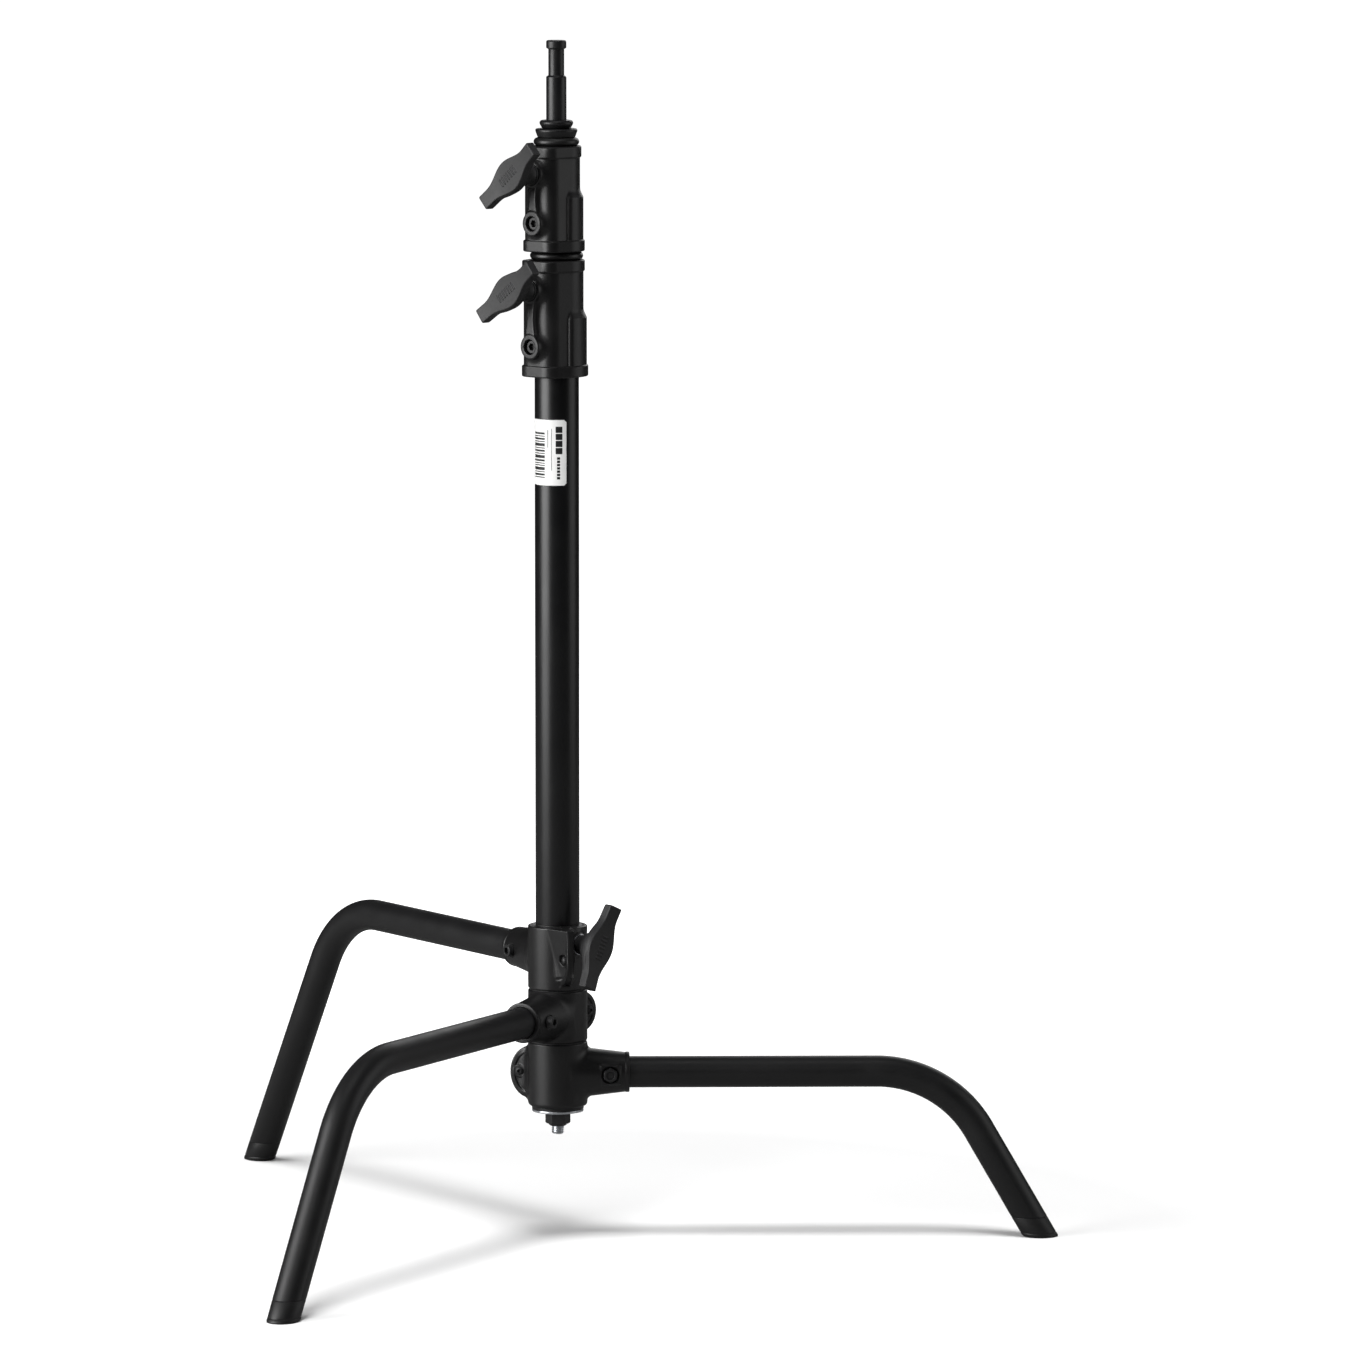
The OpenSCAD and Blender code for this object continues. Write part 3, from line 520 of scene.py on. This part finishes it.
def hub_shape(az, h, z0, z1, foot_ease=1.8, full_top=False):
    """Leg hub: round body, tapered socket with an end band, and ear, before its pivot bore."""
    zc, half = (z0 + z1) / 2, (z1 - z0) / 2

    def shape(gx, gy, z):
        x, y = turned(gx, gy, az)
        ex, ey = turned(gx, gy, az + EAR_TURN)
        d = capped(np.hypot(gx, gy) - HUB_R, z, z0 - 10, z1, 1.2)
        d = soft_common(d, z0 - z, foot_ease)
        socket = soft_union(taper(y, z - h, x, 20.8, 15.4, 12, 57, 1),
                            rod(y, z - h, x, 16.1, 53.6, 57, 0.9), 0.3)
        pad = block(x, y, z, (BOLT_R, -14, h), (8, 3.5, 8), 1.6)
        socket = soft_common(soft_union(socket, pad, 1.5), np.abs(z - zc) - half, 2)
        d = soft_union(d, socket, 4)
        d = soft_union(d, ear_shape(ex, ey, z, h, zc, half, full_top), 4)
        d = soft_cut(d, rod(y, z - h, x, 12.55, 24.5, 80, 0.3), 0.7)
        d = soft_cut(d, rod(x - BOLT_R, z - h, y, 3.2, -40, 40), 0.3)
        d = soft_cut(d, rod(x - BOLT_R, z - h, y, 6.7, -30, -15.2, 1), 1.2)
        d = soft_cut(d, rod(x - BOLT_R, z - h, y, 5.75, 16.2, 40, 0.3), 0.7)
        return soft_cut(d, rod(ex - EAR_R, z - h, ey, 2.1, -20, 20), 0.3)
    return shape


def low_hub_shape(x, y, z):
    """Low hub with the round seat under it."""
    d = LOW_HUB(x, y, z)
    d = soft_union(d, rod(x, y, z, 20.6, 104.5, 112, 0.6), 0.8)
    return soft_cut(d, np.hypot(x, y) - SLEEVE_BORE_R, 0.4)


def mid_hub_shape(x, y, z):
    return soft_cut(MID_HUB(x, y, z), np.hypot(x, y) - SLEEVE_BORE_R, 0.4)


def top_hub_shape(gx, gy, z):
    """Top hub with the locking screw's pad and a flat gusset between its rim and its ear."""
    d = TOP_HUB(gx, gy, z)
    ex, ey = turned(gx, gy, TOP_AZ + EAR_TURN)
    flat = -0.694 * gx - 0.707 * gy - 0.133 * z + 12.06
    gusset = np.maximum(soft_common(flat, ex - 38.6, 1.2), np.maximum(ey - 2.6, np.abs(z - 233) - 19))
    d = soft_union(d, np.maximum(soft_common(gusset, z - TOP_HUB_TOP, 1), 8 - ex), 0.7)
    d = soft_cut(d, rod(ex - EAR_R, z - TOP_Z, ey, 4.6, -14, -3, 0.3), 0.5)
    lx, ly = turned(gx, gy, BASE_LOCK_AZ)
    d = soft_union(d, taper(ly, z - BASE_SCREW_Z, lx, 11, 7.8, 12, BASE_FACE, 0.8), 4)
    d = soft_cut(d, np.hypot(gx, gy) - np.where(z < 216.9, SLEEVE_BORE_R, 20), 0.4)
    d = soft_cut(d, rod(ly, z - BASE_SCREW_Z, lx, SCREW_BORE_R, 0, 60), 0.4)
    return soft_cut(d, rod(ly, z - BASE_SCREW_Z, lx, SHOE_BORE_R, 0, 20.9), 0.3)


LOW_HUB = hub_shape(LOW_AZ, LOW_Z, 107, LOW_HUB_TOP, 3.4)
MID_HUB = hub_shape(MID_AZ, MID_Z, 159.5, MID_HUB_TOP)
TOP_HUB = hub_shape(TOP_AZ, TOP_Z, 201.5, TOP_HUB_TOP, full_top=True)


def add_hubs():
    for name, shape, z0, z1, body in (
            ("low_hub", low_hub_shape, 102, 161, "base"),
            ("mid_hub", mid_hub_shape, 157, 203, "mid_leg_body"),
            ("top_hub", top_hub_shape, 199, 255, "top_leg_body")):
        solid = field_solid(shape, (-60, -60, z0), (60, 60, z1), 0.6)
        add_piece(name + "_casting", solid, body, "hub_casting", CASTING, (name,))


# ---- Handles ----

def handle_shape(x, y, z):
    """Wing handle: root against the washer at X = 0, length along Y, grip ribs on its outer face."""
    u = np.abs(y)
    half_w = HANDLE_TIP_W / 2 + (HANDLE_W - HANDLE_TIP_W) / 2 * (
        0.5 + 0.5 * np.cos(np.minimum(math.pi, u / (0.36 * HANDLE_L) * math.pi)))
    lift = (u / (HANDLE_L / 2)) ** 2
    outer, inner = HANDLE_H + 2.5 * lift, HANDLE_H - HANDLE_T + 3 * lift
    sides = soft_common((np.abs(z) - half_w) / 1.05, u - HANDLE_L / 2, 1.4)
    faces = soft_common(x - outer, inner - x, 0.6)
    wing = soft_common(sides, faces, 1.5)
    t = np.clip(x / 16, 0, 1.2) ** 2
    long, wide = 7.8 + 10 * t, 7.8 + 3 * t
    root = (np.hypot(y / long, z / wide) - 1) * wide
    root = capped(root, x, 0, 21, 0.8)
    d = soft_union(wing, root, 2)
    rib_u = y - 3 * np.round(np.clip(y / 3, -3, 3))
    rib = np.maximum(np.abs(rib_u) - 0.65, np.abs(z) - 3.2)
    rib = soft_common(rib, x - outer - 0.45, 0.5)
    d = soft_union(d, np.maximum(rib, outer - 2 - x), 0.4)
    return soft_cut(d, rod(y, z, x, 4.02, -5, 14, 0.2), 0.4)


def add_handles():
    solid = field_solid(handle_shape, (-1, -36, -14), (30, 36, 14), 0.42)
    for name, body, bearing, z, face, tilt in (
            ("base", "base_lock", BASE_LOCK_AZ, BASE_SCREW_Z, BASE_FACE, 66),
            ("lower", "lower_lock", LOCK_AZ, LOWER_SCREW_Z, LOWER_FACE, 37.5),
            ("upper", "upper_lock", LOCK_AZ, UPPER_SCREW_Z, UPPER_FACE, 41.4)):
        place = bearing_place(bearing, z, face + WASHER_H + 0.02, tilt)
        add_piece(name + "_wing_handle", solid, body, "handle", HANDLE, (name + "_handle",), place)


# ---- Fasteners ----

def hexagon(a, b, across):
    """Field of a hexagon measured across its flats."""
    return np.maximum(np.abs(a), np.abs(a) * 0.5 + np.abs(b) * 0.866) - across / 2


def leg_bolt_shape(x, y, z):
    """Cross bolt along Z with a round socket head."""
    d = soft_union(rod(x, y, z, 3, -19, 17, 0.5), rod(x, y, z, 5, 16.22, 21.7, 1), 0.2)
    return soft_cut(d, np.maximum(hexagon(x, y, 5), 18.7 - z), 0.4)


def leg_nut_shape(x, y, z):
    """Hexagon nut from Z = 0 with its corners turned off at both faces."""
    cone = (np.hypot(x, y) - 5.9 + 0.55 * np.maximum(np.abs(z - 2.5) - 1.9, 0) * 2) * 0.8
    d = soft_common(soft_common(hexagon(x, y, 10), cone, 0.3), np.abs(z - 2.5) - 2.5, 0.4)
    return soft_cut(d, np.hypot(x, y) - 3.05, 0.5)


def ear_screw_shape(x, y, z):
    """Small button screw along Z with its tail's end on the other side."""
    dome = np.sqrt(x * x + y * y + (z - 1.2) ** 2) - 4.3
    head = soft_common(np.maximum(dome, 2.6 - z), np.hypot(x, y) - 3.5, 0.5)
    d = soft_union(rod(x, y, z, 2, -4.9, 3.6), head, 0.1)
    d = soft_union(d, rod(x, y, z, 3.2, -4.9, -2.7, 0.6), 0.1)
    return soft_cut(d, np.maximum(hexagon(x, y, 2.6), 3.5 - z), 0.2)


def collar_bolt_shape(x, y, z):
    """Socket-head bolt along Z, the top of its head at Z = 0."""
    d = soft_union(rod(x, y, z, 3, -13, -3.5, 0.3), rod(x, y, z, 5.2, -4, 0, 0.8), 0.2)
    return soft_cut(d, np.maximum(hexagon(x, y, 5), -3.4 - z), 0.5)


def lock_nut_shape(x, y, z):
    """Self-locking nut: hexagon above, turned collar below."""
    r = np.hypot(x, y)
    chamfer = r - 10.1 + 0.9 * np.maximum(np.abs(z - 97.4) - 4.0, 0)
    d = soft_common(soft_common(hexagon(y, x, 17.6), chamfer * 0.8, 0.4), np.abs(z - 97.4) - 4.99, 0.5)
    d = soft_union(d, taper(x, y, z, 6.8, 8.4, 90.6, 94.5, 1.2), 0.5)
    return soft_cut(d, r - 5.05, 0.5)


def thread(x, y, z, r, pitch, low, high):
    """Threaded rod with a pointed end below."""
    phase = 2 * math.pi * z / pitch - np.arctan2(y, x)
    d = np.hypot(x, y) - r + 0.32 + 0.32 * np.cos(phase)
    return capped(np.maximum(d, np.hypot(x, y) - r + (low + 1.4 - z) * 0.9) * 0.8, z, low, high, 0.3)


def stud_shape(x, y, z):
    """Threaded end of the centre stud and the plain part above it."""
    d = thread(x, y, z, 4.98, 1.5, 84, 108)
    return soft_union(d, rod(x, y, z, 4.98, 104, 114, 0.2), 0.1)


def add_fasteners():
    bolt = field_solid(leg_bolt_shape, (-6, -6, -20), (6, 6, 23), 0.22)
    nut = field_solid(leg_nut_shape, (-7, -7, -1), (7, 7, 6), 0.2)
    screw = field_solid(ear_screw_shape, (-4.5, -4.5, -6), (4.5, 4.5, 6.5), 0.15)
    head_on = Matrix.Rotation(math.radians(-90), 4, "X")
    for name, az, z, body, side in (("low", LOW_AZ, LOW_Z, "base", -1),
                                    ("mid", MID_AZ, MID_Z, "mid_leg_body", 1),
                                    ("top", TOP_AZ, TOP_Z, "top_leg_body", 1)):
        socket = bearing_place(az, z, BOLT_R)
        add_piece(name + "_cross_bolt", bolt, body, "black_fastener", OXIDE, (name + "_leg_bolt",),
                  socket @ head_on)
        add_piece(name + "_cross_nut", nut, body, "black_fastener", OXIDE, (name + "_leg_nut",),
                  socket @ Matrix.Translation((0, -15.2, 0)) @ head_on.inverted())
        add_piece(name + "_button_screw", screw, body, "black_fastener", OXIDE, (name + "_ear_screw",),
                  bearing_place(az + EAR_TURN, z, EAR_R) @ Matrix.Rotation(math.radians(90 * side), 4, "X"))
    bolt = field_solid(collar_bolt_shape, (-6, -6, -17), (6, 6, 1), 0.2)
    outward = Matrix.Rotation(math.radians(90), 4, "Y")
    add_piece("lower_socket_bolt", bolt, "column", "black_fastener", OXIDE, ("lower_collar_bolt",),
              bearing_place(LOCK_AZ, LOWER_BOLT_Z, 29.4) @ outward)
    add_piece("upper_socket_bolt", bolt, "riser_2", "black_fastener", OXIDE, ("upper_collar_bolt",),
              bearing_place(LOCK_AZ, UPPER_BOLT_Z, 26.8) @ outward)
    add_piece("nylon_lock_nut", field_solid(lock_nut_shape, (-11, -11, 89), (11, 11, 104), 0.3),
              "base", "black_fastener", OXIDE, ("lock_nut",))
    add_piece("threaded_stud", field_solid(stud_shape, (-6, -6, 83), (6, 6, 116), 0.22, 0.5),
              "base", "zinc", ZINC, ("centre_stud",))


# ---- Turned pieces ----

def lathe(profile, n=144):
    """Solid turned about the Z axis from a closed profile of (radius, height), anticlockwise."""
    points, rings = [], []
    for r, z in profile:
        count = 1 if r < 1e-6 else n
        rings.append([len(points) + i % count for i in range(n)])
        points += [(r * math.cos(2 * math.pi * i / n), r * math.sin(2 * math.pi * i / n), z)
                   for i in range(count)]
    faces = []
    for a, b in zip(rings, rings[1:] + rings[:1]):
        for i in range(n):
            j = (i + 1) % n
            face = list(dict.fromkeys((a[i], a[j], b[j], b[i])))
            if len(face) > 2:
                faces.append(face)
    return points, faces, None


def eased(profile, amounts, steps=4):
    """Profile with its corners rounded by the given amounts."""
    out = []
    for i, ((r, z), amount) in enumerate(zip(profile, amounts)):
        if amount <= 0:
            out.append((r, z))
            continue
        ends = []
        for ro, zo in (profile[i - 1], profile[(i + 1) % len(profile)]):
            share = amount / math.hypot(ro - r, zo - z)
            ends.append((r + (ro - r) * share, z + (zo - z) * share))
        for k in range(steps + 1):
            t = k / steps
            out.append(tuple((1 - t) ** 2 * p + 2 * t * (1 - t) * c + t * t * q
                             for p, c, q in zip(ends[0], (r, z), ends[1])))
    return out


def pipe(r_in, r_out, z0, z1, ease=0.3):
    """Tube or flat ring with eased edges."""
    return lathe(eased([(r_in, z0), (r_out, z0), (r_out, z1), (r_in, z1)], [ease] * 4))


def round_ring(r_in, r_out, z0, z1):
    """Ring with a half-round rim."""
    rim = (z1 - z0) / 2
    turns = [math.radians(10 * i - 90) for i in range(19)]
    rim_points = [(r_out - rim + rim * math.cos(a), z0 + rim + rim * math.sin(a)) for a in turns]
    return lathe([(r_in, z0)] + rim_points + [(r_in, z1)])


def pin_solid():
    """Lamp pin with its plug, shaft, neck and head."""
    plug = [(0, 843.8), (9, 843.8), (10.95, 845.8), (10.95, 877.8)]
    root = [(PIN_ROOT_R, 877.8), (PIN_ROOT_R, 891.8)]
    shaft = [(PIN_R, 891.8), (PIN_R, 925.2), (7.2, 926)]
    neck = [(PIN_NECK_R, 926.4), (PIN_NECK_R, 947.1), (7.5, 947.7)]
    head = [(PIN_HEAD_R, 948.2), (PIN_HEAD_R, 953.2), (7.15, 954), (0, 954)]
    eases = [0, 0.5, 0.5, 0.1, 0.1, 0, 0, 0.4, 0.3, 0.5, 0.3, 0.3, 0.3, 0.4, 0.4, 0]
    return lathe(eased(plug + root + shaft + neck + head, eases))


def add_turned():
    add_piece("column_pipe", pipe(16, COLUMN_R, 253.1, 744.5, 0.4), "column", "column_tube", TUBE_COAT,
              ("column_tube",))
    add_piece("middle_riser_pipe", pipe(13.5, RISER_2_R, 288.05, 835.2), "riser_2", "riser_tube", RISER_COAT,
              ("riser_2_tube",))
    add_piece("top_riser_pipe", pipe(11, RISER_3_R, 293.05, 877.8), "riser_3", "riser_tube", RISER_COAT,
              ("riser_3_tube",))
    add_piece("baby_pin", pin_solid(), "riser_3", "pin", PIN_COAT, ("lamp_pin",))
    stop = [(7.85, 877.8), (14.8, 877.8), (16.6, 882.8), (16.6, 883.9), (15.9, 884.6), (7.85, 884.6)]
    add_piece("stop_collar", lathe(eased(stop, (0, 0.8, 0.5, 0.4, 0.5, 0.2))), "riser_3", "pin", PIN_COAT,
              ("stop_ring",))
    cap = [(7.85, 884.7), (11.2, 884.7), (13.4, 888.7), (13.2, 890.1), (12.1, 891.2), (7.85, 891.5)]
    add_piece("cap_collar", lathe(eased(cap, (0, 0.8, 1, 0.6, 0.6, 0.2))), "riser_3", "pin", PIN_COAT,
              ("cap_ring",))
    add_piece("lower_bumper_ring", round_ring(15.3, 21, 781.5, 787.9), "column", "bumper", RUBBER,
              ("lower_bumper",))
    add_piece("upper_bumper_ring", round_ring(12.8, 18, 871.2, 877.6), "riser_2", "bumper", RUBBER,
              ("upper_bumper",))
    add_piece("bottom_washer", pipe(5.3, 20.5, 102.5, 104.4, 0.4), "base", "zinc", ZINC, ("zinc_washer",))
    add_piece("lower_slip_disc", pipe(17.1, 22.5, LOW_HUB_TOP, 159.4, 0.15), "base", "nylon_disc",
              NYLON_BLACK,
              ("lower_swivel_disc",))
    add_piece("upper_slip_disc", pipe(17.1, 22.5, MID_HUB_TOP, 201.4, 0.15), "mid_leg_body", "nylon_disc",
              NYLON_BLACK, ("upper_swivel_disc",))
    add_piece("column_thrust_disc", pipe(14.38, 17.3, 252.05, 253.05, 0.15), "column_ring", "nylon_disc",
              NYLON_BLACK, ("thrust_ring",))
    spigot = [(10, 126), (14.3, 126), (14.3, 253.1), (15.95, 253.1), (15.95, 280), (10, 280)]
    add_piece("drop_in_spigot", lathe(eased(spigot, (0.5, 1.5, 0.1, 0, 0.5, 0.5))), "column", "bare_steel",
              STEEL, ("column_spigot",))
    outward = Matrix.Rotation(math.radians(90), 4, "Y")
    washer = pipe(SCREW_BORE_R, 8.2, 0, 1.46, 0.35)
    for name, body, bearing, z, face, slot, look in (
            ("base", "base_lock_ring", BASE_LOCK_AZ, BASE_SCREW_Z, BASE_FACE, "zinc", ZINC),
            ("lower", "lower_lock_ring", LOCK_AZ, LOWER_SCREW_Z, LOWER_FACE, "dark_washer", OXIDE),
            ("upper", "upper_lock_ring", LOCK_AZ, UPPER_SCREW_Z, UPPER_FACE, "dark_washer", OXIDE)):
        add_piece(name + "_handle_washer", washer, body, slot, look, (name + "_lock_washer",),
                  bearing_place(bearing, z, face + 0.02) @ outward)


# ---- Legs ----

def skin(rings):
    """Closed solid through rings of equal point counts, flat at both ends."""
    n = len(rings[0])
    points = [p for ring in rings for p in ring]
    faces = [list(range(n))[::-1], [len(points) - n + i for i in range(n)]]
    for k in range(len(rings) - 1):
        for i in range(n):
            j = (i + 1) % n
            faces.append([k * n + i, k * n + j, (k + 1) * n + j, (k + 1) * n + i])
    return points, faces, None


def leg_solid(h, corner, n=96):
    """Leg tube in its own frame: straight, bend, and slope down to a level cut above the foot."""
    turns = [2 * math.pi * i / n for i in range(n)]
    slope = math.radians(SLOPE)
    cut = BEND_R * math.tan(slope / 2)

    def ring(x, z, lean, r=LEG_D / 2):
        return [(x + r * math.cos(a) * math.sin(lean), -r * math.sin(a), z + r * math.cos(a) * math.cos(lean))
                for a in turns]

    rings = [ring(25, 0, 0, 12.2), ring(25.3, 0, 0), ring(corner - cut, 0, 0)]
    for k in range(1, 41):
        lean = slope * k / 40
        rings.append(ring(corner - cut + BEND_R * math.sin(lean), BEND_R * (math.cos(lean) - 1), lean))
    for level, r in ((FOOT_H + 0.5, 12.5), (FOOT_H + 0.12, 12.25)):
        axis_x = corner + h / math.tan(slope)
        section = ring(axis_x, -h, slope, r)
        drop = [(level - h - p[2]) / math.sin(slope) for p in section]
        rings.append([(p[0] - d * math.cos(slope), p[1], level - h) for p, d in zip(section, drop)])
    return skin(rings)


def foot_solid(h, corner, n=96):
    """Moulded foot: level sections of the sloping tube's line, with a bead over the floor."""
    slope = math.radians(SLOPE)
    rings = []
    for level, scale in ((0, 0.90), (0.25, 0.955), (0.8, 0.99), (1.4, 1), (2.7, 1), (3.1, 0.985),
                         (3.4, 0.97), (3.8, 0.985), (4.4, 0.992), (15.5, 0.998), (15.95, 0.98)):
        x = corner + (h - level) / math.tan(slope)
        rings.append([(x + scale * 12.5 / math.sin(slope) * math.cos(2 * math.pi * i / n),
                       scale * 12.5 * math.sin(2 * math.pi * i / n), level - h) for i in range(n)])
    return skin(rings)


def add_legs():
    for name, az, z, reach, body in (("low", LOW_AZ, LOW_Z, 0, "base"),
                                     ("mid", MID_AZ, MID_Z, MID_REACH, "mid_leg_body"),
                                     ("top", TOP_AZ, TOP_Z, TOP_REACH, "top_leg_body")):
        place = bearing_place(az, z)
        add_piece(name + "_leg_pipe", leg_solid(z, CORNER_R + reach), body, "leg_tube", LEG_COAT,
                  (name + "_leg",), place)
        add_piece(name + "_foot_end", foot_solid(z, CORNER_R + reach), body, "foot", FOOT,
                  (name + "_foot",), place)


# ---- Label ----

def curved_patch(bearing0, bearing1, z0, z1, r_low, r_high, round_off=0.0):
    """Thin patch bent round the column, its corners rounded."""
    rows, columns = (1, 12) if round_off == 0 else (28, 60)
    points, faces = [], []
    for r in (r_high, r_low):
        for k in range(rows + 1):
            z = z0 + (z1 - z0) * k / rows
            near = max(0, round_off - min(z - z0, z1 - z))
            inset = math.degrees((round_off - math.sqrt(max(0, round_off ** 2 - near ** 2))) / COLUMN_R)
            for i in range(columns + 1):
                a = math.radians(bearing0 + inset + (bearing1 - bearing0 - 2 * inset) * i / columns)
                points.append((r * math.cos(a), r * math.sin(a), z))
    wide, layer = columns + 1, (rows + 1) * (columns + 1)
    for k in range(rows):
        for i in range(columns):
            a = k * wide + i
            faces.append([a, a + 1, a + wide + 1, a + wide])
            faces.append([layer + f for f in (a, a + wide, a + wide + 1, a + 1)])
    rim = (list(range(wide))
           + [k * wide + columns for k in range(1, rows + 1)]
           + [rows * wide + i for i in range(columns - 1, -1, -1)]
           + [k * wide for k in range(rows - 1, 0, -1)])
    for a, b in zip(rim, rim[1:] + rim[:1]):
        faces.append([layer + a, layer + b, b, a])
    return points, faces, None


def joined(solids):
    """Several plain solids as one."""
    points, faces = [], []
    for some_points, some_faces, _ in solids:
        faces += [[len(points) + i for i in f] for f in some_faces]
        points += some_points
    return points, faces, None


def add_label():
    add_piece("blank_label", curved_patch(174, 296, 604, 656, COLUMN_R + 0.01, COLUMN_R + 0.13, 1.8),
              "column", "label", PAPER, ("label_sticker",))
    patches = [(246, 247.5, 634, 648), (256.4, 257.6, 616, 649)]
    patches += [(267.6, 285, 629 + 5.6 * i, 633.9 + 5.6 * i) for i in range(4)]
    patches += [(271, 279, 609 + 2.6 * i, 610.9 + 2.6 * i) for i in range(7)]
    z = 610.0
    for width in (0.8, 1.6, 0.8, 2.4, 0.8, 0.8, 1.6, 2.4, 0.8, 1.6, 0.8, 2.4, 0.8, 1.6, 0.8, 1.6):
        patches.append((196, 238, z, z + width))
        z += width + 0.95
    add_piece("label_bars", joined([curved_patch(*p, COLUMN_R + 0.12, COLUMN_R + 0.15) for p in patches]),
              "column", "label", INK)


# ---- Floor and light ----

def add_floor():
    """Sweep that the camera sees as white, also far off, and that gives little light back to the object."""
    mat = bpy.data.materials.new("floor")
    mat.use_nodes = True
    tree = mat.node_tree
    shader = tree.nodes["Principled BSDF"]
    shader.inputs["Roughness"].default_value = 0.9
    shader.inputs["Specular IOR Level"].default_value = 0.0
    shader.inputs["Emission Color"].default_value = (1, 1, 1, 1)
    place = tree.nodes.new("ShaderNodeNewGeometry").outputs["Position"]
    away = tree.nodes.new("ShaderNodeVectorMath")
    away.operation = "LENGTH"
    tree.links.new(place, away.inputs[0])
    lift = span(tree, away.outputs["Value"], 0.03, 1.05, 0.5, 1.6)
    seen = tree.nodes.new("ShaderNodeLightPath").outputs["Is Camera Ray"]
    tree.links.new(mix_colour(tree, seen, (0.2, 0.2, 0.2), (0.8, 0.8, 0.8)), shader.inputs["Base Color"])
    shown = tree.nodes.new("ShaderNodeMath")
    shown.operation = "MULTIPLY"
    tree.links.new(lift, shown.inputs[0])
    tree.links.new(seen, shown.inputs[1])
    tree.links.new(shown.outputs[0], shader.inputs["Emission Strength"])
    mesh = bpy.data.meshes.new("floor")
    mesh.from_pydata([(-40, -12, 0), (40, -12, 0), (40, 60, 0), (-40, 60, 0)], [], [(0, 1, 2, 3)])
    mesh.materials.append(mat)
    floor = bpy.data.objects.new("floor", mesh)
    bpy.context.scene.collection.objects.link(floor)


def add_light(name, place, target, size, power, glossy=True):
    """Rectangular light of a given power in watts, aimed at a target."""
    data = bpy.data.lights.new(name, "AREA")
    data.shape = "RECTANGLE"
    data.size, data.size_y = size
    data.energy = power
    lamp = bpy.data.objects.new(name, data)
    lamp.location = place
    aim = Vector(target) - Vector(place)
    lamp.rotation_euler = aim.to_track_quat("-Z", "Y").to_euler()
    lamp.visible_glossy = glossy
    bpy.context.scene.collection.objects.link(lamp)


def add_lights():
    world = bpy.data.worlds.new("studio")
    world.use_nodes = True
    back = world.node_tree.nodes["Background"]
    back.inputs["Color"].default_value = (1, 1, 1, 1)
    back.inputs["Strength"].default_value = 0.02
    bpy.context.scene.world = world
    add_light("left_softbox", (-2.5, -1.2, 1.0), (0, 0, 0.45), (2.1, 2.4), 106)
    add_light("right_softbox", (2.7, -0.1, 0.9), (0, 0, 0.45), (1.9, 2.4), 13)
    add_light("front_softbox", (-0.9, -3.2, 2.4), (0, 0, 0.45), (1.2, 1.0), 7)
    add_light("top_softbox", (0, -0.4, 3.0), (0, 0, 0.2), (1.4, 1.4), 5)
    add_light("back_softbox", (1.0, 3.2, 1.7), (0, 0, 0.45), (2.2, 1.8), 22)
    add_light("overhead", (0, -0.7, 3.0), (0, 0, 0), (0.9, 0.9), 88, glossy=False)


dress_nodes()
add_collars()
add_hubs()
add_handles()
add_fasteners()
add_turned()
add_legs()
add_label()
add_floor()
add_lights()
bpy.context.scene.view_settings.view_transform = "Standard"
